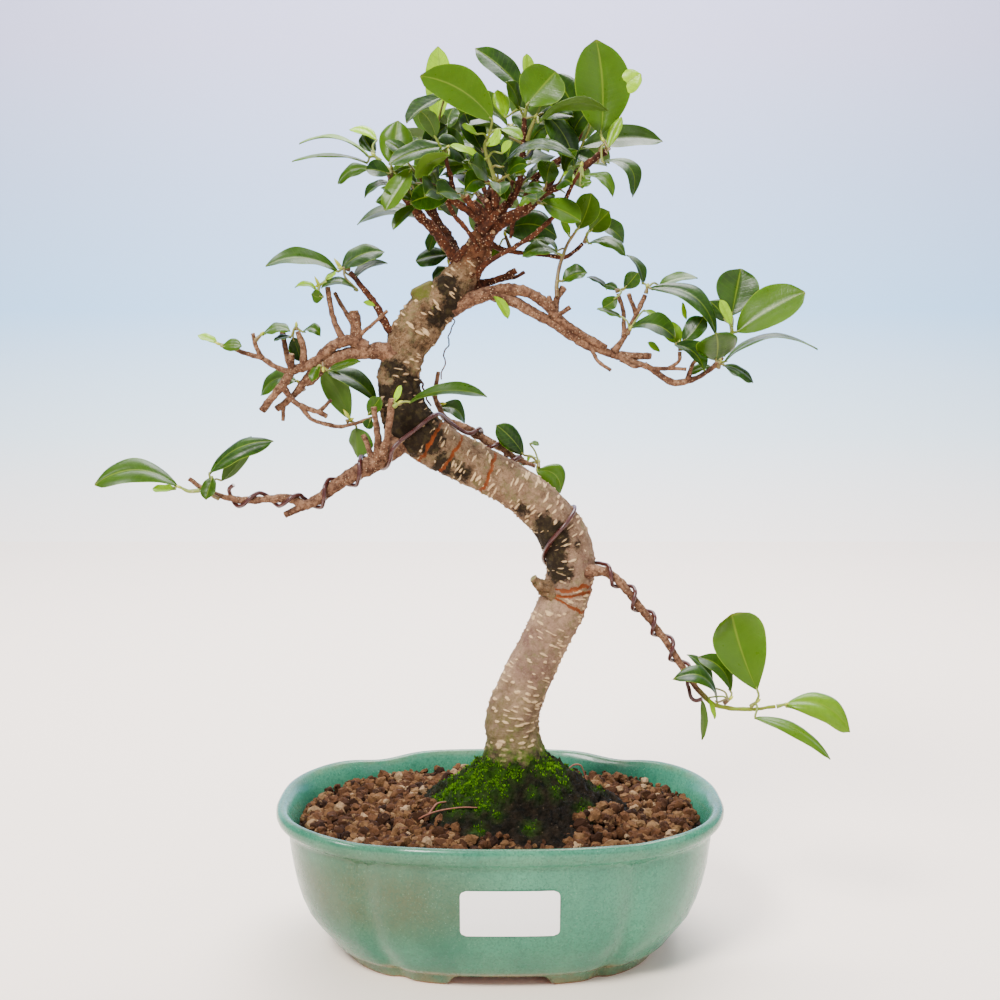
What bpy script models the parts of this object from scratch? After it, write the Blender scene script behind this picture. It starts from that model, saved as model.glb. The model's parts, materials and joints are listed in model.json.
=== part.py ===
"""A fig bonsai in a glazed pot: the pot and its soil, the trunk with its branches, two training wires,
and the young shoots with their leaves.

Lengths in the lists are millimetres, and MM turns them into metres. The tree is laid out as it is seen from
SIGHT, a point in front of it: x and z are read on the middle plane y = 0, and depth says how far behind that
plane the point then lies, along the same line of sight.
"""
import math

import bmesh
import bpy
from mathutils import Vector
from mathutils.bvhtree import BVHTree

MM = 0.001
SIGHT = Vector((0.0, -729.0, 326.0))
GAP = 0.35              # left between pieces that touch

# Pot
RIM_WIDTH = 245.0
RIM_DEPTH = 175.0
FLOOR_TOP = 15.0
FLOOR_UNDER = 9.0
ROUNDNESS = 2.5         # exponent of the plan's superellipse
CREASE_X = 0.60         # where the lobes meet, as a share of the half width
CREASE_DEEP = 0.035
RIM_DIP = 2.5
AROUND = 40
OUTER = ((0.0, 0.690), (6.5, 0.715), (7.5, 0.745), (14, 0.790), (26, 0.868), (42, 0.915), (60, 0.938),
         (72.5, 0.952), (74, 0.985), (78, 1.0), (82, 0.993))       # height, share of the rim's half size
INNER = ((82.5, 0.955), (74, 0.915), (50, 0.875), (26, 0.800), (FLOOR_TOP, 0.700))
UNDER = ((FLOOR_UNDER, 0.600), (0.0, 0.625))
ARCH_WIDTH = 60.0
ARCH_HEIGHT = 5.5
DRAIN_X = 42.0
DRAIN_RADIUS = 8.0
MESH_SIDE = 27.0
MESH_THICK = 1.2
LABEL_WIDTH = 50.0
LABEL_HEIGHT = 25.0
LABEL_X = 5.0
LABEL_Z = 47.5

# Soil and moss
SOIL_EDGE = 71.0
MOUND_TOP = 101.0
MOUND_CENTRE = (10.0, 0.0)
MOUND_REACH = 78.0
MOSS_REACH = 60.0
MOSS_THICK = 4.5
MOSS_LIFT = 1.9

# Leaves
LEAF_THICK = 1.0
LEAF_STATIONS = ((0.2, 0.68), (0.52, 1.0), (0.82, 0.64))          # along the midrib, share of full width
SMALL_LEAF = 9.5        # up to this width, a blade gets the simpler outline
SMALL_STATIONS = ((0.3, 0.9), (0.72, 0.85))
LEAF_FOLD = 0.16        # how far the edges rise above the midrib, as a share of half the width
PETIOLE_RADIUS = 0.72
PETIOLE_IN = 2.0        # how far a petiole reaches into its blade
STEM_RADIUS = 1.15
CLEAR_STEP = 3.0        # a leaf that meets another moves back or forward by this much at a time
CLEAR_TRIES = 30
CLEAR_GROW = 0.45       # how much fatter a leaf is while it is tested

WOOD = ("trunk", "branch", "crown")

# Wires
WIRE_RADIUS = 1.1
COIL_POINTS = 7         # along one turn

# Wood: each stretch is a list of (x, z, depth, radius)
TRUNK = ((9, 66, 2, 17), (9, 80, 2, 20.5), (8.5, 95, 2, 19.5), (8, 105, 2, 17.2), (7.2, 114, 2, 15.3),
         (7, 123, 2, 14.8), (8.5, 132, 2, 14.3), (12, 141, 2, 13.6), (15.8, 151, 3, 13.2), (20.5, 161, 3, 13),
         (26, 172, 4, 12.8), (31, 182, 4, 13), (35, 192, 5, 13.2), (38, 203, 5, 13.2), (38.5, 214, 5, 13.2),
         (35, 226, 5, 13.4), (27, 238, 4, 12.8), (15.5, 248.5, 3, 12.2), (3, 257, 2, 11.9),
         (-10, 264, 1, 11.7),
         (-23, 270.5, 0, 12.1), (-36, 277.5, -1, 12.9), (-46.5, 286.5, -2, 13.2), (-52.5, 297, -2, 12.1),
         (-54, 308, -2, 11), (-53, 319, -2, 10.7), (-49.5, 330, -2, 11), (-43.5, 340, -1, 11.5),
         (-37, 349, 0, 11.4), (-29, 357, 0, 10.4), (-22, 365, 0, 8.9), (-17, 373, 0, 7.7),
         (-12.5, 382, 0, 6.6),
         (-8, 391, 0, 5.9), (-5, 398, 0, 5))
ROOT_COUNT = 6
ROOT_TOP = (9, 88, 2, 9.0)
ROOT_REACH = (46, 30)   # across and in depth, at the roots' ends
ROOT_END_Z = 52
TRUNK_STUBS = (
    ((-37, 349, 0, 7.5), (-41.5, 361.5, -2, 6.4)),                                     # old cut, mossy top
    ((30, 195, 0, 5.5), (22, 200, -6, 3.2), (18, 203.8, -8, 2.0)),
    ((-17, 362, 2, 3.4), (-7, 363.5, 2, 2.1), (1, 366, 0, 1.8), (8.5, 370, -1, 1.7)),
    ((0, 365.5, 0, 1.3), (8, 366.5, 3, 1.0), (13, 369, 4, 0.9)),
    ((-50, 332, -2, 3.4), (-58, 337, -4, 2.3), (-62, 343, -5, 2.0), (-66, 351, -6, 1.9), (-71, 358, -7, 1.6),
     (-76, 364, -8, 1.5), (-80, 369, -8, 1.4)),                                        # upper left twig
    ((-13, 368, -2, 2.6), (-8, 373, -9, 1.6), (0, 378, -12, 1.3), (10, 383.5, -14, 1.3), (20, 390, -16, 1.2),
     (29, 399, -18, 1.2), (35, 407.5, -20, 1.2), (38.5, 415, -21, 1.1), (42, 421, -22, 1.0)),
    ((-9, 386, 2, 2.4), (-2, 382.5, 6, 1.5), (6, 380, 8, 1.3), (15, 379, 9, 1.2), (25, 378, 10, 1.2),
     (33, 377, 10, 1.2), (39, 379.5, 10, 1.1), (44, 384, 10, 1.0)),
    ((-29, 345, -2, 1.0), (-26, 344, 3, 0.6), (-27.5, 336, 4, 0.6), (-29, 326, 3, 0.6), (-29.5, 313, 2, 0.6)),
    ((-43, 312, 0, 1.0), (-41, 306, 3, 0.8), (-38, 299, 8, 0.8)),
)
LEADER = (
    ((-4, 396, 1, 3.2), (4, 405, 3, 2.1), (9, 412, 2, 1.7), (11.5, 424, 0, 1.5), (12.3, 436, -2, 1.4),
     (12.8, 449, -3, 1.3)),
    ((-4, 396, -2, 3.0), (-2.5, 405, -8, 2.0), (-2, 413, -11, 1.8), (-2.4, 416, -12, 1.6)),
    ((-5, 397, 3, 2.4), (-6, 406, 8, 1.6), (-9, 414, 12, 1.4), (-12.5, 424, 16, 1.2)),
    ((-7, 391, 3, 3.4), (-4, 402, 14, 2.4), (0, 412, 24, 2.0), (4, 424, 33, 1.7), (6, 436, 40, 1.4)),
    ((0, 412, 24, 1.7), (-12, 420, 32, 1.4), (-24, 428, 40, 1.2), (-30, 436, 44, 1.1)),
    ((0, 412, 24, 1.7), (14, 418, 33, 1.4), (28, 424, 40, 1.2), (36, 432, 44, 1.1)),
    ((-4, 402, 14, 1.8), (-10, 408, 30, 1.4), (-12, 410, 46, 1.2)),
)
BRANCHES = {
    "branch_left_upper": (
        ((-54, 322, -4, 6.0), (-62, 327, -8, 4.7), (-70, 327, -9, 3.9), (-80, 326, -10, 3.5),
         (-90, 323, -10, 3.3),
         (-97, 318, -9, 2.9), (-104, 312, -8, 2.4), (-109, 306, -7, 2.0), (-115, 300, -6, 1.8),
         (-120.5, 296, -6, 1.7)),
        ((-72, 329, -10, 3.2), (-80, 333, -12, 3.0), (-87, 331.5, -12, 3.0), (-93, 327.5, -12, 2.8),
         (-98, 322.5, -12, 2.7), (-105, 319, -12, 2.6), (-112, 316, -12, 2.4), (-117, 309, -12, 2.2),
         (-123, 302, -12, 2.0), (-128.5, 295.5, -12, 2.0)),
        ((-77, 331, -11, 3.2), (-77, 340, -11, 2.9), (-78, 348.5, -11, 2.6)),
        ((-84, 333, -12, 1.9), (-88, 341, -13, 1.7), (-90.5, 350, -14, 1.5), (-92, 361, -15, 1.4)),
        ((-78, 341, -11, 1.7), (-84, 350, -9, 1.2), (-88.5, 358, -8, 1.0)),
        ((-76, 335, -11, 1.3), (-66, 343.5, -14, 0.9), (-60.5, 348.5, -16, 1.0)),
        ((-112, 317, -12, 1.8), (-114.5, 325, -9, 1.5), (-116.5, 338, -7, 1.4)),
        ((-112, 317, -12, 1.8), (-112, 325.5, -16, 1.7)),
        ((-106, 319, -12, 1.9), (-105.5, 329, -13, 1.7), (-108.5, 337.5, -14, 1.5)),
        ((-112, 316, -12, 1.8), (-120, 318.5, -11, 1.5), (-128, 323.5, -10, 1.4), (-137, 326, -8, 1.2),
         (-143, 328.5, -7, 1.0)),
        ((-128, 323.5, -10, 1.4), (-131, 330, -12, 1.2), (-132.5, 336.5, -13, 1.1)),
        ((-117, 309, -12, 1.8), (-112, 301, -12, 1.6), (-105, 297, -12, 1.5), (-98, 294.5, -12, 1.4),
         (-93.5, 292.5, -13, 1.4)),
        ((-98, 294.5, -12, 1.2), (-94, 298, -10, 1.0), (-91, 301, -9, 0.9)),
        ((-108, 298.5, -12, 1.3), (-102, 291, -11, 1.2), (-94, 288, -9, 1.1), (-86, 286.8, -7, 1.1),
         (-78, 288.5, -5, 1.0), (-69.5, 291.3, -3, 1.0)),
        ((-117, 299, -6, 1.2), (-117, 290, -6, 1.0)),
        ((-97, 317, -9, 2.2), (-101, 311.5, -7, 1.9), (-104, 309.5, -5, 1.6)),
    ),
    "branch_left_lower": (
        ((-47, 284, 0, 6.5), (-58, 275, -8, 5.8), (-67, 268, -14, 5), (-77, 262, -18, 4.2),
         (-86, 257, -18, 3.6),
         (-93, 251.5, -18, 3.1), (-100, 246.5, -18, 2.9), (-106.5, 244, -18, 2.7), (-113, 247, -18, 2.4),
         (-121, 247.5, -18, 2.2), (-130, 247, -18, 2.0), (-140, 246.5, -18, 1.8), (-147, 248, -18, 1.6),
         (-155, 250.5, -17, 1.3), (-162, 253.5, -16, 1.3), (-168.5, 258.3, -16, 1.2)),
        ((-106, 244, -18, 2.1), (-112, 241, -18, 1.8), (-117, 238.8, -18, 1.8)),
        ((-63, 271, -18, 3.0), (-61, 281, -24, 2.0), (-59.5, 291, -25, 1.8), (-58, 301.5, -25, 1.7)),
        ((-66, 269, -17, 2.8), (-66, 280, -20, 1.9), (-67, 289, -20, 1.7), (-68, 297, -20, 1.5)),
        ((-69, 267, -17, 2.0), (-71.5, 276, -15, 1.4), (-74, 282, -14, 1.4)),
    ),
    "branch_back": (
        ((-33, 277, 5, 5.0), (-28, 287, 15, 2.9), (-20, 286, 18, 2.6), (-12, 282, 20, 2.4),
         (-5, 278, 21, 2.2),
         (2, 274, 22, 1.9), (8, 270, 22, 1.6), (14, 267, 22, 1.3), (19, 265, 22, 1.2)),
        ((-24, 286.5, 16, 2.4), (-30, 292, 20, 1.7), (-35, 303, 17, 1.3), (-33, 316, 15, 1.1)),
    ),
    "branch_right": (
        ((-26, 352, -1, 5.4), (-14, 355.5, -5, 3.9), (-4, 358.5, -7, 3.4), (5, 360, -8, 3.1),
         (13, 359, -9, 2.9),
         (20, 355.5, -9, 2.8), (26, 351, -9, 2.6), (30, 346, -9, 2.6), (36, 341, -9, 2.3),
         (43, 336.5, -9, 2.1),
         (50, 332.5, -9, 2.0), (57, 329, -9, 1.9)),
        ((-4, 357.5, -7, 3.0), (5, 354.5, -7, 3.0), (12, 351, -7, 3.0), (20, 346.5, -7, 2.9),
         (28, 342.5, -7, 2.8),
         (36, 337, -7, 2.7), (43, 332.5, -7, 2.6), (50, 329, -7, 2.4), (60, 326, -7, 2.2),
         (70, 324.6, -7, 2.0),
         (81, 324.6, -7, 1.8)),
        ((28, 347, -10, 1.9), (26, 356.5, -13, 1.2)),
        ((29, 347, -9, 2.2), (30.5, 355, -8, 1.7), (34, 361, -7, 1.9)),
        ((29, 346, -10, 1.8), (33, 347.5, -12, 1.4), (37.5, 350.5, -13, 1.3)),
        ((49, 329, -8, 1.3), (52, 322.5, -11, 1.0), (59.5, 316.8, -12, 1.0)),
        ((60, 325.5, -8, 1.7), (70, 322, -9, 1.6), (80, 318.5, -9, 1.6), (88, 313, -9, 1.7),
         (94, 310, -9, 1.7),
         (101, 311.2, -9, 1.5), (108, 314, -10, 1.4), (115, 319, -10, 1.3), (119, 324, -10, 1.3)),
        ((65, 323, -9, 1.2), (72, 319, -12, 0.9), (79, 320.5, -13, 0.9)),
        ((82, 317.5, -9, 1.3), (91, 318, -13, 1.0), (100, 317.5, -14, 1.0)),
        ((91, 318, -13, 1.1), (96, 322, -14, 1.0), (96.5, 326.5, -14, 1.1)),
        ((101, 311.5, -9, 1.4), (103, 319, -12, 1.1), (107.5, 325.5, -13, 1.1)),
        ((61, 327, -8, 2.0), (65.5, 333, -8, 1.5), (70, 341, -8, 1.4), (74, 349, -8, 1.3),
         (77.5, 357, -8, 1.2)),
        ((66.5, 335, -8, 1.4), (66, 348, -5, 1.1), (63, 357.5, -4, 1.0)),
        ((73, 347, -8, 1.3), (68.5, 357.5, -11, 1.2)),
    ),
    "branch_right_lowest": (
        ((40, 206, 1, 5.4), (50, 207.5, -4, 3.4), (57, 207.5, -6, 2.6), (63, 204, -7, 2.3),
         (68.5, 198.5, -8, 2.2),
         (75, 190, -9, 2.1), (82, 181, -10, 2.0), (88.5, 172.5, -10, 2.0), (95, 163, -10, 1.9),
         (100, 155, -10, 1.9),
         (105, 147.5, -10, 1.7), (111, 139.5, -10, 1.5), (118, 133.5, -10, 1.3), (125, 131.5, -9, 1.2),
         (135, 130.5, -8, 1.1), (145, 131, -7, 1.0), (152, 132, -6, 1.0)),
    ),
    "crown_left": (
        ((-17, 366, -1, 5.0), (-22.5, 374.5, -3, 3.2), (-28, 382, -5, 2.9), (-35, 391, -8, 2.6),
         (-42, 398, -11, 2.4),
         (-47.5, 404.5, -13, 2.2), (-51, 413, -15, 1.9)),
        ((-47.5, 404.5, -13, 1.6), (-53, 411, -12, 1.3), (-57, 417, -12, 1.2)),
        ((-53, 411, -12, 1.2), (-58, 418, -6, 1.1), (-63, 426, -2, 1.0)),
        ((-22.5, 374.5, -3, 3.2), (-24.5, 381, 6, 2.9), (-29, 389, 13, 2.7), (-34, 397, 18, 2.4),
         (-41, 407, 22, 2.2)),
        ((-34, 397, 18, 1.8), (-36, 410, 24, 1.4), (-36, 424, 28, 1.2)),
    ),
    "crown_front": (
        ((-6, 393, -1, 3.4), (-15, 400, -9, 2.1), (-24, 406, -13, 1.9), (-30.5, 410.5, -15, 1.8),
         (-37, 414.5, -17, 1.7), (-44, 420.5, -19, 1.5)),
        ((-12, 378, -3, 2.6), (-14, 386, -8, 1.3), (-20, 394, -11, 1.3), (-25, 400, -13, 1.2),
         (-30, 410, -15, 1.2)),
        ((-7, 395, -5, 2.2), (-13, 402, -12, 1.9), (-18.5, 408.5, -15, 1.9)),
        ((-24, 406, -13, 1.5), (-26, 418, -20, 1.3), (-29, 430, -24, 1.1)),
    ),
    "crown_right": (
        ((-6, 392, -1, 4.2), (3, 396.5, -4, 3.0), (10, 400, -6, 2.7), (17, 404.5, -8, 2.5),
         (23, 410, -9, 2.3),
         (30, 413.5, -10, 2.0), (36, 417, -11, 1.9), (44, 423.5, -12, 1.8), (51, 429, -13, 1.6),
         (56, 432, -14, 1.6)),
        ((23, 410, -9, 1.7), (29, 418.5, -8, 1.2)),
        ((10, 400, -6, 2.1), (15, 411, -2, 1.6), (21, 420, 2, 1.5), (28, 426, 4, 1.4), (34.5, 430.5, 5, 1.3),
         (40, 436, 6, 1.2), (44, 445, 7, 1.1)),
        ((7, 398.5, -5, 1.6), (6.2, 390, -9, 1.1), (5.5, 387, -10, 0.9)),
    ),
}

# Young shoots: a green stem as (x, z, depth), then its leaves as
# (base x, base z, tip x, tip z, width, arch, roll, depth of the base, depth gained at the tip, tone).
# Roll 0 faces the front, 90 faces up and 180 shows the underside; tone 0 is old and dark, 1 is lime.
SHOOTS = {
    "shoot_left_top": (((-80.5, 370, -8), (-84, 371, -9)), (
        (-86, 369.5, -125, 372.5, 15, 5, 50, -10, -6, 0.25), (-84.5, 371, -61.5, 380, 16, 3, 45, -8, 4, 0.2),
        (-78, 366, -60, 374, 12, 2, 62, -4, 8, 0.15), (-76, 359.5, -95.5, 361, 13, 4, 68, -13, -6, 0.05))),
    "shoot_left_fork": (((-93.2, 363.6, -15.5), (-96, 362.5, -15)), (
        (-97, 358.5, -109.5, 361.3, 7, 3, 65, -16, -3, 0.9),
        (-94.5, 356, -100.7, 357.5, 7, -1, 10, -18, -3, 0.3),
        (-93, 365, -88, 370, 6, 0, 50, -14, 4, 0.9))),
    "shoot_left_far": (((-144, 328.8, -7), (-150, 330.8, -7)), (
        (-149.3, 329.6, -138.7, 330, 7.5, 1.5, 25, -11, -3, 0.3),
        (-151.5, 331.7, -162, 336, 7, 0, 55, -6, 3, 0.7))),
    "shoot_left_spur": (((-130.5, 333.5, -15), (-128.5, 335.5, -15)), (
        (-127.5, 336, -112.5, 338.3, 12, 3, 60, -15, -3, 0.3),)),
    "shoot_left_mid": (((-108.7, 338.5, -14), (-109, 340, -14)), (
        (-106, 337.6, -96.3, 335.6, 8, 3, 50, -15, -3, 0.25),
        (-111, 334.5, -107, 321.5, 9, 0, 15, -5, 2, 0.1),
        (-112, 335, -121.3, 333, 8, 0.8, 65, -18, -2, 0.15))),
    "shoot_left_under": (((-106, 307, -4), (-107.5, 309.5, -3)), (
        (-109.5, 311.3, -129, 303.5, 15, 4.5, 48, -2, 4, 0.2),)),
    "shoot_left_hanging": (((-82, 289, -5), (-81.5, 290, -4)), (
        (-81, 291, -94.8, 317, 16, 1.5, 155, 0, 4, 0.3), (-77.5, 286, -76.5, 270, 16, 0, 150, -8, 2, 0.25))),
    "shoot_left_inner": (((-68.5, 292, -3), (-67, 294, -1)), (
        (-71, 293, -64.5, 302.5, 9, 0, 20, -12, -2, 0.3), (-69.5, 291, -72, 285.5, 6.5, 0, 20, -6, 0, 0.2),
        (-66.5, 300, -92.5, 316, 15, 5, 50, 2, 2, 0.2))),
    "shoot_left_strand": (((-95, 320, -17), (-95, 318.5, -18)), (
        (-92.5, 317, -75, 322, 9, 0.5, 60, -18, -2, 0.2),
        (-97.5, 319.5, -101.3, 311, 7, 0, 40, -17, -2, 0.35))),
    "shoot_low_tip": (((-164, 252, -18), (-169, 251.6, -18), (-173, 253.5, -18)), (
        (-174.5, 254.3, -220, 255.3, 18, 7.5, 50, -18, -6, 0.3),
        (-176, 253.5, -188.5, 253.3, 7, -1, 60, -14, 6, 1.0))),
    "shoot_low_mid": (((-153.5, 248, -20), (-156.5, 250, -22), (-157, 256, -23)), (
        (-157.5, 261.5, -122.5, 279, 15, 4.5, 50, -22, 4, 0.25),
        (-151, 257.5, -134.5, 281.5, 11, -2, 140, -12, 8, 0.15),
        (-156, 259.5, -160, 247, 9.5, 0, 25, -27, -4, 0.35))),
    "shoot_low_upright": (((-56.7, 298, -27), (-55, 299, -28)), (
        (-49, 300, -7, 303, 13, 5.5, 62, -29, -4, 0.25), (-57, 300, -53.5, 309, 4, 0, 30, -27, 0, 1.0))),
    "shoot_back_twig": (((-33, 299, 20.5), (-32, 299, 21)), ((-33, 297, -19, 288.5, 13, 4, 48, 18, 4, 0.2),)),
    "shoot_back_end": (((20.5, 265, 22.5), (21, 267, 25)), (
        (13, 271.3, -1.8, 287.5, 13, 1, 25, 20, -6, 0.1), (16, 277.5, 21.3, 277, 4, 0.5, 50, 26, 0, 0.3),
        (13, 266, 8, 271, 6, 0, 30, 25, 4, 0.1), (20, 263, 33, 250.7, 15, 5, 25, 21, 2, 0.35),
        (15, 266.5, 20.3, 269.5, 4, 3, 60, 27, 2, 0.95))),
    "shoot_lowest_tip": (((152.7, 132.2, -6), (157, 133.2, -6)), (
        (158, 133.8, 194, 117.8, 18, 8, 45, -6, -6, 0.5), (158, 132.3, 183, 122.5, 9, 2, 60, -9, -6, 1.0))),
    "shoot_lowest_big": (((139, 132.3, -9), (141.5, 134.5, -10)), (
        (142, 141, 127, 184, 30, 0, 8, -11, 6, 0.45), (141, 126, 183.5, 102.3, 13, 6, 65, -14, -8, 0.5))),
    "shoot_lowest_inner": (((124.5, 133.5, -8), (126.5, 136, -8)), (
        (127.5, 140.3, 109, 160, 13, 5, 40, -4, 6, 0.15), (117, 143, 103, 161.5, 9, 3, 55, 2, 6, 0.15),
        (120.5, 134.5, 95.5, 147.7, 14, 8, 62, -16, -5, 0.0))),
    "shoot_right_upright": (((30.5, 357, -10), (30.3, 362.5, -10), (31.5, 371, -8), (33.5, 377.5, -7),
                             (36, 384, -6),
                             (40, 390, -8)), (
        (33, 364.3, 46.5, 369, 12, 1.5, 45, -9, -3, 0.15), (31, 379, 12, 377.5, 12, 3.5, 50, -9, -4, 0.2),
        (31, 380.5, 18, 386.5, 8, 2.5, 65, -3, 4, 0.05), (41.5, 391.5, 48.5, 410.5, 14, 0, 15, -12, -3, 0.3),
        (37, 388, 33, 397.5, 5, 0, 30, -6, 3, 0.6))),
    "shoot_right_cup": (((44.7, 384.8, 10), (46, 388, 9)), (
        (47, 384.5, 67, 378, 13, 5, 58, 8, -4, 0.3), (50, 394, 66, 384.5, 14, 3, 45, 12, 2, 0.25),
        (48, 390.5, 58, 401, 13, 0, 15, 4, -6, 0.4))),
    "shoot_right_twig": (((62.7, 358.5, -4), (64.5, 359.7, -4)), (
        (63, 359.8, 55.8, 362.5, 6, 1, 35, -3, 2, 0.05), (57.5, 360.5, 46.5, 366.8, 8, 1.5, 65, -1, 2, 0.2),
        (66.3, 360.3, 73.5, 368.8, 9, 0, 15, -8, -3, 0.2),
        (62.5, 356, 54.8, 350.5, 8, -1, 15, -7, -2, 0.35))),
    "shoot_right_mid": (((77.8, 358, -8), (78.5, 360.5, -8)), (
        (80, 360.8, 116, 335.3, 18, 9, 50, -12, -6, 0.05), (76.5, 363, 67.5, 378.3, 10, 3, 55, -4, 4, 0.25),
        (85, 362, 105.5, 366.2, 11, 1.5, 60, 0, 6, 0.3))),
    "shoot_right_side": (((68.8, 337, -11), (69.5, 338.5, -12)),
                         ((70, 340, 94, 334, 17, 4.5, 50, -13, -3, 0.2),)),
    "shoot_right_low": (((96.6, 327.5, -14), (96.5, 330, -14)), (
        (94, 331, 110, 316.5, 15, 4, 45, -17, -4, 0.1), (96.5, 331, 87, 341.8, 11, 0, 20, -8, 3, 0.65),
        (98, 332, 109, 345.7, 13, 0, 35, -13, 2, 0.02))),
    "shoot_right_tip": (((119.6, 324.8, -10), (122.5, 331, -10), (124, 337, -10)), (
        (124, 346, 128.5, 371, 23, 0, 5, 0, 4, 0.3), (127, 337.5, 163, 358.5, 23, 2, 30, -9, -5, 0.5),
        (124, 340.5, 117.5, 354.5, 6, 0, 25, -15, -2, 1.0), (121, 343, 112, 354, 12, 1, 20, -3, 3, 0.2))),
    "shoot_right_outer": (((117.3, 319.2, -12), (118, 321, -14)), (
        (120, 321.5, 170.5, 328.3, 16, 9.5, 78, -8, -2, 0.35),
        (116, 322, 116, 336.5, 22, 0, 0, -16, -16, 0.15),
        (120, 320, 136.5, 310.5, 13, 2, 60, -14, -3, 0.1))),
    "shoot_crown_left": (((-51.3, 414, -15), (-51.5, 417, -16)), (
        (-47, 423, -61, 401.5, 13, 0, 25, -22, -4, 0.4), (-46, 413, -66, 406, 14, 2, 50, -6, 0, 0.1),
        (-55, 415, -72, 408.3, 11, 3, 62, -12, -2, 0.1))),
    "shoot_crown_left_round": (((-57.3, 418, -12), (-57.5, 422, -12)), (
        (-58, 420.5, -71, 423, 12, 0.5, 35, -17, -2, 0.1), (-57.5, 425.5, -54, 448, 18, 0, 8, -14, 4, 0.35),
        (-68, 423, -86, 415.5, 13, 4, 50, -8, 3, 0.2))),
    "shoot_crown_left_far": (((-63.4, 427, -2), (-66, 429.5, -2)), (
        (-69, 429.5, -106, 436.3, 11, 6.5, 74, -4, -2, 0.75),
        (-70, 426.5, -110, 427.2, 12, 3.5, 76, 2, 4, 0.6),
        (-65, 438, -79.5, 443.6, 9, 2.5, 50, 4, 4, 0.95), (-66, 431.5, -72.5, 441.3, 9, 0, 20, 10, 4, 0.15))),
    "shoot_crown_front_left": (((-29.1, 431, -24), (-28.5, 433, -25)), (
        (-27, 434.5, -59, 425.5, 14, 3, 40, -26, 0, 0.1),
        (-27, 430.5, -45, 418.5, 13, 3, 120, -29, -2, 0.8))),
    "shoot_crown_front": (((-2.5, 417.3, -12.5), (-4.5, 423, -14), (-8, 434, -16), (-6, 440, -17)), (
        (-4, 448.5, -42, 471, 22, 3, 15, -20, -6, 0.35), (-9, 427.8, -27, 435, 9, 1, 60, -17, -4, 0.95),
        (-7, 435, -0.5, 444, 7, -1, 35, -22, -2, 0.9), (0, 424, 40, 428.5, 15, 9, 62, -18, -4, 0.1),
        (-9, 432, -18.5, 452, 14, 0, 25, -10, 4, 0.0), (0, 443.5, 12, 438.5, 9, 1.5, 50, -19, -2, 0.7))),
    "shoot_crown_back_left": (((-36, 425, 28), (-34.5, 434, 26), (-33.5, 442, 24)), (
        (-33.5, 446, -32.5, 486, 15, 0, 10, 20, 2, 0.85), (-29, 460.5, -49.5, 447, 15, 2, 50, 8, -8, 0.05),
        (-41, 432.5, -28, 445.7, 13, 1, 25, 14, -4, 0.05), (-41, 433, -51, 437.5, 8, 1, 30, 22, 4, 0.1))),
    "shoot_crown_top": (((12.9, 450, -3), (14, 454, -4)), (
        (14, 456, 29.5, 473.3, 25, 0, 12, -12, 4, 0.35), (13, 462, -13, 485, 17, 3, 35, 2, 4, 0.2),
        (15, 468, 14, 482.3, 8, 0, 30, 8, 2, 0.9), (3, 449.5, -1.5, 464, 9, 0, 15, 8, 4, 0.8))),
    "shoot_crown_top_side": (((14.6, 438.5, -4), (16, 443, -6), (18.5, 449, -8)), (
        (20, 447, 57, 453.5, 13, 7, 110, -16, -4, 0.3), (24, 451.5, 39.5, 424, 17, 3, 30, -5, 2, 0.05),
        (22.8, 459, 27.5, 455.7, 4, 1, 40, -12, 0, 1.0))),
    "shoot_crown_right_tip": (((56.4, 433.2, -14), (55, 437, -13)), (
        (53.3, 441, 50.5, 489.5, 30, 0, 5, -8, 6, 0.4), (54, 427.5, 70.5, 408.5, 14, 8, 48, -19, -2, 0.3),
        (52, 426.5, 40, 431.5, 10, 0, 40, -4, 4, 0.05))),
    "shoot_crown_right_up": (((44.2, 446.2, 7), (48, 450, 5), (54.5, 455, 0)), (
        (62, 462.5, 74, 472, 13, 1, 15, -12, -4, 1.0), (42.5, 448, 27.5, 473, 21, 0, 20, 4, 6, 0.05),
        (43, 434.5, 86, 437.5, 18, 5, 40, 16, 4, 0.35))),
    "shoot_crown_right_long": (((42.2, 421.6, -22), (43, 424, -22)), (
        (44, 419.5, 60, 408.8, 11, 5, 50, -26, -3, 0.5), (42.5, 414.5, 48.5, 416.5, 6, 0.5, 30, -29, -2, 0.3),
        (39, 416.5, 33.5, 421.5, 5, 0, 25, -21, 3, 1.0))),
    "shoot_crown_right_low": (((21, 405.5, -13), (22, 405, -14)),
                              ((23, 405.5, 43, 396, 16, 1.5, 35, -15, -4, 0.35),)),
    "shoot_crown_under": (((5, 382.5, 10), (3, 388, 12)), (
        (2.5, 391, 30.5, 387.5, 20, 6, 20, 14, 2, 0.0), (0, 383.5, -5.5, 375.8, 7, 0, 20, 16, 2, 0.3))),
    "shoot_crown_left_under": (((-28, 386, 17), (-27.5, 376, 17)), (
        (-39, 395.7, -76, 394.2, 16, 6.5, 58, 14, 2, 0.2), (-27.5, 378.5, -45, 375, 15, 1, 40, 18, 2, 0.1),
        (-34.5, 391, -38, 380, 7, 0, 25, 12, 0, 0.2), (-27, 371.5, -36, 365, 10, 1, 45, 18, 2, 0.1))),
    "shoot_back_top": (((6, 437, 40), (6, 444, 42)), (
        (8, 447, 16, 469, 19, 0, 150, 46, 8, 0.3), (4, 446, -18, 458, 18, 3, 120, 46, 6, 0.25),
        (10, 443, 34, 452, 18, 3, 125, 48, 6, 0.3), (6, 441, 0, 424, 16, 0, 150, 52, 10, 0.2),
        (3, 443, -14, 440, 16, 3, 110, 58, 14, 0.35), (9, 441, 26, 432, 17, 2, 115, 56, 12, 0.25))),
    "shoot_back_right": (((36.3, 432.8, 44), (37, 435, 45)), (
        (38, 437, 52, 450, 17, 1, 130, 48, 8, 0.3), (39, 433, 58, 426, 17, 3, 120, 50, 6, 0.3),
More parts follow.
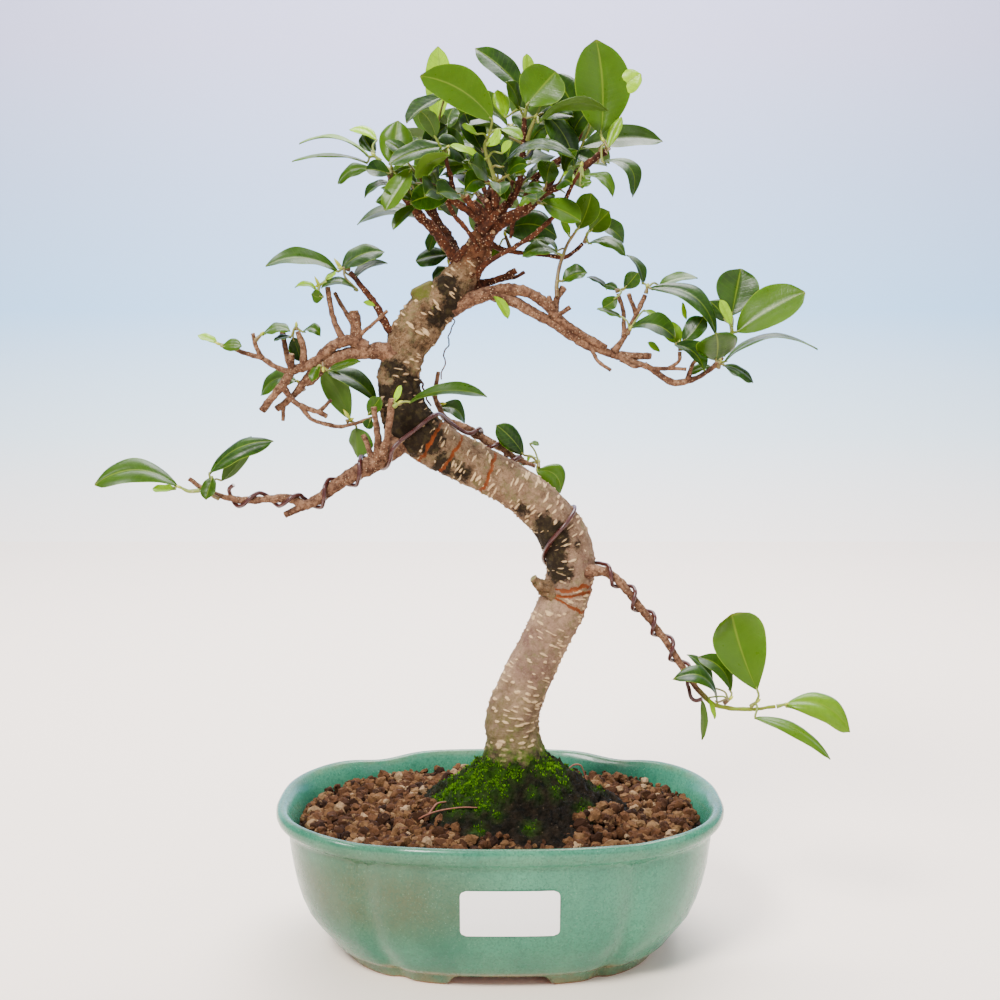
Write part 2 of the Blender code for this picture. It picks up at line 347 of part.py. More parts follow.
        (36, 430, 44, 413, 16, 0, 140, 50, 8, 0.2), (34, 438, 28, 452, 15, 0, 150, 54, 8, 0.6))),
    "shoot_back_left": (((-30.3, 436.8, 44), (-31, 439, 45)), (
        (-33, 441, -46, 456, 17, 1, 135, 48, 6, 0.3), (-34, 437, -56, 436, 17, 4, 118, 50, 6, 0.3),
        (-31, 434, -42, 417, 16, 1, 140, 52, 8, 0.2), (-27, 440, -15, 452, 16, 1, 140, 54, 8, 0.3))),
    "shoot_back_low": (((-12.1, 410.3, 47), (-12, 411, 49)), (
        (-14, 410, -33, 402, 17, 3, 120, 52, 10, 0.25), (-10, 410, 10, 403, 17, 3, 120, 54, 10, 0.25),
        (-12, 408, -10, 389, 16, 0, 150, 54, 8, 0.2), (-13, 413, -20, 428, 15, 0, 150, 60, 8, 0.3))),
}


def clear_scene():
    for old in list(bpy.data.objects):
        bpy.data.objects.remove(old, do_unlink=True)
    parts = bpy.data.collections.new("bonsai_tree_in_pot")
    helpers = bpy.data.collections.new("helpers")
    bpy.context.scene.collection.children.link(parts)
    bpy.context.scene.collection.children.link(helpers)
    return parts, helpers


PARTS, HELPERS = clear_scene()


def finish(name, colour, roughness, metallic=0.0):
    """A Principled material."""
    material = bpy.data.materials.new(name)
    material.use_nodes = True
    shader = material.node_tree.nodes["Principled BSDF"]
    shader.inputs["Base Color"].default_value = (*colour, 1.0)
    shader.inputs["Roughness"].default_value = roughness
    shader.inputs["Metallic"].default_value = metallic
    return material


GLAZE = finish("jade_glaze", (0.11, 0.42, 0.33), 0.22)
MESH_PLASTIC = finish("drain_mesh_plastic", (0.03, 0.03, 0.03), 0.5)
SOIL = finish("baked_clay_grains", (0.23, 0.10, 0.055), 0.95)
MOSS = finish("moss", (0.06, 0.12, 0.02), 0.95)
PAPER = finish("label_paper", (0.85, 0.85, 0.84), 0.5)
BARK = finish("bark", (0.36, 0.27, 0.20), 0.85)
TWIG_BARK = finish("young_bark", (0.26, 0.13, 0.08), 0.8)
WIRE = finish("anodised_wire", (0.16, 0.05, 0.04), 0.3, 1.0)
LEAF = finish("leaf", (0.07, 0.22, 0.03), 0.3)


def place(x, z, depth):
    """The point seen at (x, z) on the middle plane, set back by depth, in millimetres."""
    near = Vector((x, 0.0, z))
    return SIGHT + (near - SIGHT) * ((depth - SIGHT.y) / -SIGHT.y)


def new_object(name, mesh, material, collection=PARTS):
    obj = bpy.data.objects.new(name, mesh)
    if material:
        mesh.materials.clear()
        mesh.materials.append(material)
    collection.objects.link(obj)
    return obj


def mesh_from(name, verts, faces):
    """A mesh of points in millimetres, with its faces turned outwards."""
    mesh = bpy.data.meshes.new(name)
    mesh.from_pydata([tuple(Vector(v) * MM) for v in verts], [], faces)
    shape = bmesh.new()
    shape.from_mesh(mesh)
    bmesh.ops.recalc_face_normals(shape, faces=shape.faces)
    shape.to_mesh(mesh)
    shape.free()
    return mesh


def tube_curve(name, points, radii, sides=0):
    """A curve through points in millimetres, whose thickness follows radii. Sides 0 is square,
    1 six-sided."""
    curve = bpy.data.curves.new(name, "CURVE")
    curve.dimensions = "3D"
    curve.bevel_depth = MM
    curve.bevel_resolution = sides
    curve.use_fill_caps = True
    curve.twist_mode = "MINIMUM"
    spline = curve.splines.new("POLY")
    spline.points.add(len(points) - 1)
    for slot, point, radius in zip(spline.points, points, radii):
        slot.co = (*(Vector(point) * MM), 1.0)
        slot.radius = radius
    return new_object(name, curve, None, HELPERS)


def as_meshes(objects):
    """Helper meshes in place of curve objects, with the curves' loose caps welded."""
    bpy.context.view_layer.update()
    graph = bpy.context.evaluated_depsgraph_get()
    made = []
    for obj in objects:
        mesh = bpy.data.meshes.new_from_object(obj.evaluated_get(graph))
        shape = bmesh.new()
        shape.from_mesh(mesh)
        bmesh.ops.remove_doubles(shape, verts=shape.verts, dist=1e-6)
        bmesh.ops.recalc_face_normals(shape, faces=shape.faces)
        shape.to_mesh(mesh)
        shape.free()
        made.append(new_object(obj.name + "_mesh", mesh, None, HELPERS))
    for obj in objects:
        bpy.data.objects.remove(obj, do_unlink=True)
    return made


def combined(name, pieces, cutters, material):
    """One solid: the union of the pieces, less the cutters. Both are used up."""
    first = pieces[0]
    for group, operation in ((pieces[1:], "UNION"), (cutters, "DIFFERENCE")):
        if not group:
            continue
        members = bpy.data.collections.new(name + "_" + operation.lower())
        bpy.context.scene.collection.children.link(members)
        for piece in group:
            members.objects.link(piece)
        boolean = first.modifiers.new(operation.lower(), "BOOLEAN")
        boolean.operation = operation
        boolean.operand_type = "COLLECTION"
        boolean.collection = members
        boolean.solver = "EXACT"
        boolean.use_self = True
    bpy.context.view_layer.update()
    graph = bpy.context.evaluated_depsgraph_get()
    mesh = bpy.data.meshes.new_from_object(first.evaluated_get(graph))
    for piece in pieces + cutters:
        bpy.data.objects.remove(piece, do_unlink=True)
    for group in list(bpy.data.collections):
        if group.name.startswith(name + "_"):
            bpy.data.collections.remove(group)
    return new_object(name, mesh, material)


def smooth_sharp(obj, angle=math.radians(50)):
    obj.data.shade_smooth()
    obj.data.set_sharp_from_angle(angle=angle)


def plan_point(turn, share, z, dip=0.0):
    """A point of the pot's lobed plan at this turn, for this share of the rim's half size."""
    c, s = math.cos(turn), math.sin(turn)
    across = math.copysign(abs(c) ** (2 / ROUNDNESS), c)
    along = math.copysign(abs(s) ** (2 / ROUNDNESS), s)
    crease = math.exp(-((abs(across) - CREASE_X) / 0.07) ** 2)
    shrink = 1 - CREASE_DEEP * crease
    return (RIM_WIDTH / 2 * share * across, RIM_DEPTH / 2 * share * along * shrink, z - dip * crease)


def ring(share, z, dip=0.0, inset=0.0):
    points = [plan_point(2 * math.pi * i / AROUND, share, z, dip) for i in range(AROUND)]
    return [tuple(Vector(p) - Vector((p[0], p[1], 0)).normalized() * inset) for p in points]


def lofted(name, rings):
    """A helper solid whose skin runs through rings of equal count. Its ends are closed by flat faces."""
    verts = [point for loop in rings for point in loop]
    count = len(rings[0])
    faces = []
    for row in range(len(rings) - 1):
        for i in range(count):
            j = (i + 1) % count
            faces.append((row * count + i, row * count + j, (row + 1) * count + j, (row + 1) * count + i))
    faces.append(tuple(range(count)))
    faces.append(tuple((len(rings) - 1) * count + i for i in range(count)))
    return new_object(name, mesh_from(name, verts, faces), None, HELPERS)


def cylinder(name, centre, radius, height, axis="Z", segments=16):
    bpy.ops.mesh.primitive_cylinder_add(vertices=segments, radius=radius * MM, depth=height * MM)
    obj = bpy.context.object
    obj.name = name
    obj.location = Vector(centre) * MM
    if axis == "Y":
        obj.rotation_euler = (math.pi / 2, 0, 0)
    for group in list(obj.users_collection):
        group.objects.unlink(obj)
    HELPERS.objects.link(obj)
    return obj


def make_pot():
    rings = [ring(share, z, RIM_DIP * (z > 70)) for z, share in OUTER + INNER]
    body = lofted("pot_body", rings)
    hollow = lofted("foot_hollow", [ring(UNDER[0][1], FLOOR_UNDER), ring(UNDER[1][1], -5.0)])
    arch = cylinder("arch", (0, 0, 0), 1.0, RIM_DEPTH, "Y", 24)
    arch.scale = (ARCH_WIDTH / 2, ARCH_HEIGHT, 1.0)
    holes = [cylinder("drain", (side * DRAIN_X, 0, 10), DRAIN_RADIUS, 40) for side in (-1, 1)]
    pot = combined("pot", [body], [hollow, arch] + holes, GLAZE)
    smooth_sharp(pot)


def make_drain_mesh(name, x):
    """A square plastic lattice that keeps the soil in."""
    shape = bmesh.new()
    bmesh.ops.create_grid(shape, x_segments=3, y_segments=3, size=MESH_SIDE / 2 * MM)
    mesh = bpy.data.meshes.new(name)
    shape.to_mesh(mesh)
    shape.free()
    obj = new_object(name, mesh, MESH_PLASTIC)
    obj.location = Vector((x, 0, FLOOR_TOP + GAP + MESH_THICK / 2)) * MM
    lattice = obj.modifiers.new("lattice", "WIREFRAME")
    lattice.thickness = MESH_THICK * MM
    lattice.use_even_offset = True
    lattice.use_boundary = True


def mound_height(x, y):
    """The height of the soil's top."""
    away = math.hypot(x - MOUND_CENTRE[0], y - MOUND_CENTRE[1]) / MOUND_REACH
    rise = 0.5 + 0.5 * math.cos(math.pi * min(away, 1.0))
    front = 4.0 * min(max(-y / 70, 0.0), 1.0)
    return SOIL_EDGE + front + (MOUND_TOP - SOIL_EDGE - 4) * rise


def inner_share(z):
    """The inside wall's share of the rim's half size at this height."""
    walls = sorted(INNER)
    for (low, a), (high, b) in zip(walls, walls[1:]):
        if z <= high:
            return a + (b - a) * (z - low) / (high - low)
    return walls[-1][1]


def trunk_cutters(extra, name="cut"):
    """A fatter trunk with its roots, to cut what meets it."""
    curves = [tube_curve(name + "_trunk", [place(*p[:3]) for p in TRUNK], [p[3] + extra for p in TRUNK], 3)]
    for path in root_paths():
        curves.append(tube_curve(name + "_root", [p[:3] for p in path], [p[3] + extra for p in path], 1))
    return as_meshes(curves)


def root_paths():
    """The thick roots under the soil, as (x, y, z, radius)."""
    x, z, depth, radius = ROOT_TOP
    paths = []
    for k in range(ROOT_COUNT):
        turn = 2 * math.pi * (k + 0.3) / ROOT_COUNT
        end = Vector((x + ROOT_REACH[0] * math.cos(turn), depth + ROOT_REACH[1] * math.sin(turn), ROOT_END_Z))
        start = Vector((x + 4 * math.cos(turn), depth + 4 * math.sin(turn), z))
        middle = start.lerp(end, 0.5) + Vector((0, 0, 7))
        paths.append(((*start, radius), (*middle, radius * 0.6), (*end, radius * 0.28)))
    return paths


def make_soil():
    bottom = FLOOR_TOP + 2 * GAP + MESH_THICK
    levels = [bottom, 26, 50]
    rings = [ring(inner_share(z), z, 0.0, GAP + 0.1) for z in levels]
    edge = ring(inner_share(SOIL_EDGE), SOIL_EDGE, 0.0, GAP + 0.1)
    centre = Vector((MOUND_CENTRE[0], MOUND_CENTRE[1], 0))
    for shrink in (1.0, 0.72, 0.48, 0.26):
        loop = []
        for p in edge:
            q = centre.lerp(Vector((p[0], p[1], 0)), shrink)
            loop.append((q.x, q.y, mound_height(q.x, q.y)))
        rings.append(loop)
    soil = lofted("soil_body", rings)
    combined("soil", [soil], trunk_cutters(GAP), SOIL)


def make_moss():
    """The dark mossy cap round the foot of the trunk."""
    under, over = [], []
    for share in (1.0, 0.66, 0.36):
        low, high = [], []
        for i in range(AROUND // 2):
            turn = 2 * math.pi * i / (AROUND // 2)
            reach = MOSS_REACH * share * (1 + 0.08 * math.sin(3 * turn) + 0.05 * math.cos(5 * turn))
            x = MOUND_CENTRE[0] + reach * math.cos(turn)
            y = MOUND_CENTRE[1] + reach * 0.82 * math.sin(turn)
            z = mound_height(x, y)
            low.append((x, y, z + MOSS_LIFT))
            high.append((x, y, z + MOSS_LIFT + 0.8 + MOSS_THICK * (1 - share) * 1.6))
        under.append(low)
        over.append(high)
    cap = lofted("moss_body", under[::-1] + over)
    combined("moss_mound", [cap], trunk_cutters(GAP, "moss_cut"), MOSS)


def outer_share(z):
    for (low, a), (high, b) in zip(OUTER, OUTER[1:]):
        if low <= z <= high:
            return a + (b - a) * (z - low) / (high - low)
    return 1.0


def front_wall(x, z):
    """The y of the pot's front wall, in front of x at height z."""
    share = outer_share(z)
    across = abs(x) / (RIM_WIDTH / 2 * share)
    along = (1 - across ** ROUNDNESS) ** (1 / ROUNDNESS)
    crease = math.exp(-((across - CREASE_X) / 0.07) ** 2)
    return -RIM_DEPTH / 2 * share * along * (1 - CREASE_DEEP * crease)


def make_label():
    """A blank paper label that follows the wall."""
    columns, rows = 7, 4
    shape = bmesh.new()
    bmesh.ops.create_grid(shape, x_segments=columns, y_segments=rows, size=0.5)
    for vert in shape.verts:
        x = LABEL_X + vert.co.x * LABEL_WIDTH
        z = LABEL_Z + vert.co.y * LABEL_HEIGHT
        vert.co = Vector((x, front_wall(x, z) - 2.6 * GAP, z)) * MM
    mesh = bpy.data.meshes.new("label")
    shape.to_mesh(mesh)
    shape.free()
    obj = new_object("label", mesh, PAPER)
    shell = obj.modifiers.new("paper", "SOLIDIFY")
    shell.thickness = 0.3 * MM
    shell.offset = 0.0


def wood_tube(name, stretch, sides):
    return tube_curve(name, [place(*p[:3]) for p in stretch], [p[3] for p in stretch], sides)


def make_trunk():
    curves = [wood_tube("trunk_body", TRUNK, 3)]
    curves += [tube_curve("root", [p[:3] for p in path], [p[3] for p in path], 1) for path in root_paths()]
    curves += [wood_tube("stub", stretch, 1) for stretch in TRUNK_STUBS + LEADER]
    smooth_sharp(combined("trunk", as_meshes(curves), [], BARK))


def make_branches():
    for name, stretches in BRANCHES.items():
        pieces = as_meshes([wood_tube(name + "_limb", stretch, 1) for stretch in stretches])
        fat = [wood_tube(name + "_cut", [(*p[:3], p[3] + GAP + 0.15) for p in stretch], 1 if k else 3)
               for k, stretch in enumerate((TRUNK,) + TRUNK_STUBS + LEADER)]
        smooth_sharp(combined(name, pieces, as_meshes(fat), TWIG_BARK))


def tree_of(verts, faces):
    return BVHTree.FromPolygons([tuple(v) for v in verts], faces)


def world_tree(obj):
    """The object's surface in millimetres, for clearance tests."""
    graph = bpy.context.evaluated_depsgraph_get()
    evaluated = obj.evaluated_get(graph)
    mesh = evaluated.to_mesh()
    tree = tree_of([obj.matrix_world @ v.co / MM for v in mesh.vertices],
                   [tuple(p.vertices) for p in mesh.polygons])
    evaluated.to_mesh_clear()
    return tree


def lifted(point, trees, radius):
    """The point, moved off the wood until a round piece of this radius there leaves a gap."""
    clear = radius + 1.7 * GAP
    for tree in trees:
        near, normal, _, distance = tree.find_nearest(point)
        inside = distance < 3 and (point - near).dot(normal) < 0
        if inside or distance < clear:
            point = near + (normal if inside else (point - near).normalized()) * clear
    return point


def hugging(point, trees):
    """The point of a wire that lies on the wood, nearest to this point."""
    found = [tree.find_nearest(point) for tree in trees]
    near, normal, _, distance = min(found, key=lambda f: f[3])
    away = point - near
    outward = away.normalized() if away.dot(normal) > 0 and distance > 0.2 else normal
    return lifted(near + outward * (WIRE_RADIUS + 2 * GAP), trees, WIRE_RADIUS)


def refined(points, trees):
    """The route with points added wherever it would run into the wood between two of its points."""
    for _ in range(3):
        made = [points[0]]
        for point in points[1:]:
            middle = made[-1].lerp(point, 0.5)
            moved = lifted(middle, trees, WIRE_RADIUS)
            if (moved - middle).length > GAP:
                made.append(moved)
            made.append(point)
        points = made
    return points


def coil(path, start, stop, turns, phase, trees):
    """Points of a wire wound on a path of wood, between two shares of its length."""
    points = [place(*p[:3]) for p in path]
    radii = [p[3] for p in path]
    along = [0.0]
    for a, b in zip(points, points[1:]):
        along.append(along[-1] + (b - a).length)
    count = max(int(abs(turns) * COIL_POINTS), 2)
    made = []
    for i in range(count + 1):
        here = (start + (stop - start) * i / count) * along[-1]
        k = max(j for j in range(len(along) - 1) if along[j] <= here)
        part = (here - along[k]) / (along[k + 1] - along[k])
        forward = (points[min(k + 2, len(points) - 1)] - points[max(k - 1, 0)]).normalized()
        front = Vector((0, -1, 0))
        front = (front - forward * front.dot(forward)).normalized()
        side = forward.cross(front)
        reach = radii[k] + (radii[k + 1] - radii[k]) * part + WIRE_RADIUS + 1.5 * GAP
        turn = math.radians(phase) + 2 * math.pi * turns * i / count
        centre = points[k].lerp(points[k + 1], part)
        made.append(lifted(centre + (front * math.cos(turn) + side * math.sin(turn)) * reach, trees,
                           WIRE_RADIUS))
    return made


# Where the wires cross the trunk: rough places (x, z, depth), which are then laid on the wood.
LEFT_CROSSING = ((-63, 272, -24), (-59, 275, -24), (-54, 277.5, -24), (-49, 280.5, -22), (-45, 284.5, -20),
                 (-41, 289, -16), (-37.5, 293, -9), (-33.5, 293, -1), (-29, 291, 6), (-25.5, 289.5, 11))
RIGHT_CROSSING = ((30, 235, 22), (34, 239, 18), (38, 243.5, 12), (40.5, 244.5, 6), (41.5, 241.5, -2),
                  (40, 238, -10), (36.5, 233, -14), (32.5, 229, -14), (28, 225, -12), (24.5, 220.5, -6),
                  (22.5, 215.5, 2), (23, 211, 10), (27, 208, 16), (33, 208, 20), (40, 210, 20), (46, 212, 16),
                  (50.5, 213, 10), (53, 212.8, 3))
LEFT_CUT_END = ((-144.5, 255, -21), (-148, 253.8, -21), (-151, 251.5, -18))
RIGHT_HOOK = ((105.5, 142.5, -14), (104, 139.5, -14), (104.3, 136, -14), (107, 134, -14), (110, 134.8, -14),
              (111.5, 136.5, -14))


def make_wires(solids):
    trees = [world_tree(obj) for obj in solids]
    left = BRANCHES["branch_left_lower"][0][:13]
    right = BRANCHES["branch_right_lowest"][0][:12]
    back = BRANCHES["branch_back"][0]
    routes = {
        "wire_left": [place(*p) for p in LEFT_CUT_END] + coil(left, 0.985, 0.21, 4.1, 215, trees)
        + [hugging(place(*p), trees) for p in LEFT_CROSSING] + coil(back, 0.38, 0.86, -2.3, 60, trees),
        "wire_right": [hugging(place(*p), trees) for p in RIGHT_CROSSING]
                      + coil(right, 0.17, 0.93, 4.6, 250, trees)
        + [place(*p) for p in RIGHT_HOOK],
    }
    for name, points in routes.items():
        points = refined([lifted(p, trees, WIRE_RADIUS) for p in points], trees)
        solid = as_meshes([tube_curve(name + "_curve", points, [WIRE_RADIUS] * len(points), 1)])
        smooth_sharp(combined(name, solid, [], WIRE))


def leaf_frame(row, shift):
    """The leaf's base and tip, the way its arch rises, its upper face and its side."""
    bx, bz, tx, tz, _, _, roll, depth, gain, _ = row
    base, tip = place(bx, bz, depth + shift), place(tx, tz, depth + gain + shift)
    axis = (tip - base).normalized()
    up = Vector((-axis.z, 0, axis.x))
    if up.z < 0 or (abs(up.z) < 1e-6 and up.x < 0):
        up = -up
    up = (up - axis * up.dot(axis)).normalized()
    toward = Vector((0, -1, 0))
    toward = (toward - axis * toward.dot(axis)).normalized()
    turn = math.radians(roll)
    face = toward * math.cos(turn) + up * math.sin(turn)
    return base, tip, up, face, axis.cross(face)


def stalk_points(stem, base):
    """The petiole's middle line, from the nearest part of the stem to the blade."""
    start, direction = min(((stem[k].lerp(stem[k + 1], t / 4), stem[k + 1] - stem[k])
                            for k in range(len(stem) - 1) for t in range(0 if k else 3, 5)),
                           key=lambda p: (p[0] - base).length)
    reach = (base - start).length
    bend = [start.lerp(base, 0.45) + direction.normalized() * min(reach * 0.2, 2.5)] if reach > 4 else []
    return [start] + bend + [base]


def prism(centres, radius):
    """A three-sided stalk through these points, in millimetres: verts and faces."""
    verts, faces = [], [(2, 1, 0)]
    one = None
    for k, centre in enumerate(centres):
        forward = (centres[min(k + 1, len(centres) - 1)] - centres[max(k - 1, 0)]).normalized()
        one = one or forward.orthogonal()
        one = (one - forward * one.dot(forward)).normalized()
        two = forward.cross(one)
        for corner in range(3):
            turn = 2 * math.pi * corner / 3
            verts.append(centre + (one * math.cos(turn) + two * math.sin(turn)) * radius)
    for start in range(0, len(verts) - 3, 3):
        for i in range(3):
            a, b = start + i, start + (i + 1) % 3
            faces += [(a, b, b + 3), (a, b + 3, a + 3)]
    last = len(verts) - 3
    return verts, faces + [(last, last + 1, last + 2)]


def leaf_points(row, stem, shift, grow=0.0):
    """The leaf's two pieces, petiole and blade, each as verts and faces, in millimetres."""
    base, tip, up, face, side = leaf_frame(row, shift)
    width, arch = row[4:6]
    along = tip - base
    stalk = stalk_points(stem, base)
    stalk[-1] = base + along.normalized() * PETIOLE_IN + up * arch * 4 * PETIOLE_IN / along.length
    verts = []
    for share, wide in LEAF_STATIONS if width > SMALL_LEAF else SMALL_STATIONS:
        centre = base + along * share + up * arch * 4 * share * (1 - share)
        half = width / 2 * wide + grow
        lift = face * half * LEAF_FOLD
        thick = face * (LEAF_THICK / 2 + grow)
        verts += [centre + side * half + lift, centre + thick, centre - side * half + lift, centre - thick]
    ends = len(verts)
    verts += [base, tip]
    faces = []
    for i in range(4):
        j = (i + 1) % 4
        faces += [(ends, j, i), (ends + 1, ends - 4 + i, ends - 4 + j)]
        for start in range(0, ends - 4, 4):
            a, b = start + i, start + j
            faces += [(a, b, b + 4), (a, b + 4, a + 4)]
    return prism(stalk, PETIOLE_RADIUS + grow), (verts, faces)


def settle(row, stem, others, own_blades):
    """The shift along the line of sight, nearest to none, at which the leaf meets nothing."""
    for step in range(CLEAR_TRIES):
        shift = CLEAR_STEP * ((step + 1) // 2) * (1 if step % 2 else -1)
        stalk, blade = [tree_of(*shape) for shape in leaf_points(row, stem, shift, CLEAR_GROW)]
        blade_meets = any(blade.overlap(t) for t in others + own_blades)
        if not blade_meets and not any(stalk.overlap(t) for t in others):
            return shift
    print("not clear:", row[:4])
    return 0.0


def make_shoots(solids):
    """Every shoot in turn: its leaves are placed clear of the wood and of the shoots before it."""
    trees = [world_tree(obj) for obj in solids]
    for name, (stem_points, leaves) in SHOOTS.items():
        stem = [lifted(place(*p), trees[:len(solids)], STEM_RADIUS) for p in stem_points]
        pieces = as_meshes([tube_curve(name + "_stem", stem, [STEM_RADIUS] * len(stem), 0)])
        blades = []
        for row in leaves:
            shift = settle(row, stem, trees, blades)
            shapes = leaf_points(row, stem, shift)
            blades.append(tree_of(*shapes[1]))
            pieces += [new_object(name + "_piece", mesh_from(name + "_piece", *shape), None, HELPERS)
                       for shape in shapes]
        shoot = combined(name, pieces, [], LEAF)
        smooth_sharp(shoot)
        bpy.context.view_layer.update()
        trees.append(world_tree(shoot))


def centre_on_base():
    """Moves everything so that the origin is the bottom centre of the whole object's box."""
    bpy.context.view_layer.update()
    graph = bpy.context.evaluated_depsgraph_get()
    corners = [obj.matrix_world @ Vector(c) for obj in PARTS.objects
               for c in obj.evaluated_get(graph).bound_box]
    low = Vector([min(c[i] for c in corners) for i in range(3)])
    high = Vector([max(c[i] for c in corners) for i in range(3)])
    offset = Vector(((low.x + high.x) / 2, (low.y + high.y) / 2, low.z))
    for obj in PARTS.objects:
        obj.location -= offset


make_pot()
make_drain_mesh("drain_mesh_left", -DRAIN_X)
make_drain_mesh("drain_mesh_right", DRAIN_X)
make_soil()
make_moss()
make_label()
make_trunk()
make_branches()
bpy.context.view_layer.update()
make_wires([obj for obj in PARTS.objects if obj.name.startswith(WOOD)])
bpy.context.view_layer.update()
make_shoots([obj for obj in PARTS.objects if obj.name.startswith(WOOD + ("wire",))])
centre_on_base()
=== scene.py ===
import json
import math
import random

import bmesh
import bpy
import numpy as np
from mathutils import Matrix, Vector, noise
from mathutils.bvhtree import BVHTree

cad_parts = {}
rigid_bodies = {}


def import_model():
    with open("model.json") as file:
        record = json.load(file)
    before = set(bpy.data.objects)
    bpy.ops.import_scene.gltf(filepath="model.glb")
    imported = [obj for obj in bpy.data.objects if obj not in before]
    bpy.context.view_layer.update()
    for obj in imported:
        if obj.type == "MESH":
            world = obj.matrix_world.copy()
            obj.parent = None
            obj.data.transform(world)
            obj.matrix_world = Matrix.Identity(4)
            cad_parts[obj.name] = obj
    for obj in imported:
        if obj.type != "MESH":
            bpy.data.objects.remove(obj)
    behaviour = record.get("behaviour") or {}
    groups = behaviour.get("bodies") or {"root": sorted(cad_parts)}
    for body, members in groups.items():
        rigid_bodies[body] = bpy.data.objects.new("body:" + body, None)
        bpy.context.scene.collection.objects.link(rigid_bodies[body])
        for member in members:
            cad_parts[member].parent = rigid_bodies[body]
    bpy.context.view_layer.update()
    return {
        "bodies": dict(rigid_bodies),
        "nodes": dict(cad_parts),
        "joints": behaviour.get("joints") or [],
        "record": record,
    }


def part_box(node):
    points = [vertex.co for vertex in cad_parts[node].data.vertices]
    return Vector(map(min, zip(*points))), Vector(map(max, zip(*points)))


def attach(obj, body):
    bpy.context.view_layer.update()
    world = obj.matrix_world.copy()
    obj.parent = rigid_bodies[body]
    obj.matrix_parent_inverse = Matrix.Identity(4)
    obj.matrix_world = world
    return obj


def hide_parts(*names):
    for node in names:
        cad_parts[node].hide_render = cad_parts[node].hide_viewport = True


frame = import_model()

print("frame loaded:", len(frame["nodes"]), "nodes")

# Lengths are millimetres in the tree's own layout: x and z as seen from the sight point, and the depth behind
# the middle plane along the same line of sight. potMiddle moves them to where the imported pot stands.
mm = 0.001
sight = np.array((0.0, -729.0, 326.0))
potLow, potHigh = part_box("pot")
potMiddle = np.array(((potLow.x + potHigh.x) / 2, (potLow.y + potHigh.y) / 2, potLow.z))


def place(x, z, depth):
    near = np.array((x, 0.0, z))
    return sight + (near - sight) * ((depth - sight[1]) / -sight[1])


def unit(v):
    return v / max(float(np.linalg.norm(v)), 1e-9)


def paths(text):
    # rows of numbers: a comma ends a row, a semicolon ends a path of rows
    return tuple(tuple(tuple(map(float, row.split())) for row in path.split(",")) for path in text.split(";"))


def roughness3(points, scale, octaves=4, seed=0.0):
    # fractal noise at each point, about -1 to 1
    shift = Vector((seed * 17.3, seed * 5.1, seed * 9.7))
    flat = np.asarray(points, float).reshape(-1, 3) / scale
    return np.array([noise.fractal(Vector(p) + shift, 1.0, 2.1, octaves) for p in flat.tolist()])


def splined(rows, step):
    # Catmull-Rom through the rows (x, y, z, then any more columns), a sample about every step millimetres
    rows = np.asarray(rows, float)
    padded = np.vstack((2 * rows[0] - rows[1], rows, 2 * rows[-1] - rows[-2]))
    made = []
    for k in range(1, len(padded) - 2):
        a, b, c, d = padded[k - 1:k + 3]
        count = max(int(np.linalg.norm(c[:3] - b[:3]) / step), 1)
        t = np.arange(count)[:, None] / count
        made.append(0.5 * (2 * b + (c - a) * t + (2 * a - 5 * b + 4 * c - d) * t ** 2
                           + (3 * b - a - 3 * c + d) * t ** 3))
    made.append(rows[-1:])
    return np.vstack(made)


def carried(centres):
    # a tangent, and two directions across it that turn as little as possible, at each point
    tangents = np.gradient(centres, axis=0)
    tangents /= np.maximum(np.linalg.norm(tangents, axis=1), 1e-9)[:, None]
    one = np.zeros_like(tangents)
    start = np.array((0.0, -1.0, 0.0))
    if abs(tangents[0][1]) > 0.9:
        start = np.array((1.0, 0.0, 0.0))
    for k, t in enumerate(tangents):
        start = unit(start - t * start.dot(t))
        one[k] = start
    return tangents, one, np.cross(tangents, one)


def lengthsAlong(centres):
    return np.concatenate(([0], np.cumsum(np.linalg.norm(np.diff(centres, axis=0), axis=1))))


def tube(centres, radii, around):
    # points round each centre, the directions they lie in, and their angles
    _, one, two = carried(centres)
    turns = np.linspace(0, 2 * np.pi, around, endpoint=False)
    out = one[:, None] * np.cos(turns)[None, :, None] + two[:, None] * np.sin(turns)[None, :, None]
    return (centres[:, None] + out * radii[:, None, None]).reshape(-1, 3), out, turns


def slabFaces(columns, rows):
    # two sheets of columns by rows points, back to back, joined round their edge
    size = columns * rows
    faces = []
    for r in range(rows - 1):
        for a in range(r * columns, r * columns + columns - 1):
            faces.append([a, a + 1, a + columns + 1, a + columns])
            faces.append([size + a, size + a + columns, size + a + columns + 1, size + a + 1])
    edge = ([c for c in range(columns)] + [r * columns + columns - 1 for r in range(1, rows)]
            + [(rows - 1) * columns + c for c in range(columns - 2, -1, -1)]
            + [r * columns for r in range(rows - 2, 0, -1)])
    return faces + [[b, a, a + size, b + size] for a, b in zip(edge, edge[1:] + edge[:1])]


def pieceName(node):
    words = node.split("_")
    return words[0] + "".join(w.title() for w in words[1:])


def ringFaces(rings, around, first=0, caps=(True, True)):
    i, j = np.meshgrid(np.arange(rings - 1), np.arange(around), indexing="ij")
    a = first + i * around + j
    b = first + i * around + (j + 1) % around
    faces = np.stack((a, b, b + around, a + around), axis=-1).reshape(-1, 4).tolist()
    if caps[0]:
        faces.append(list(range(first, first + around))[::-1])
    if caps[1]:
        faces.append(list(range(first + (rings - 1) * around, first + rings * around)))
    return faces


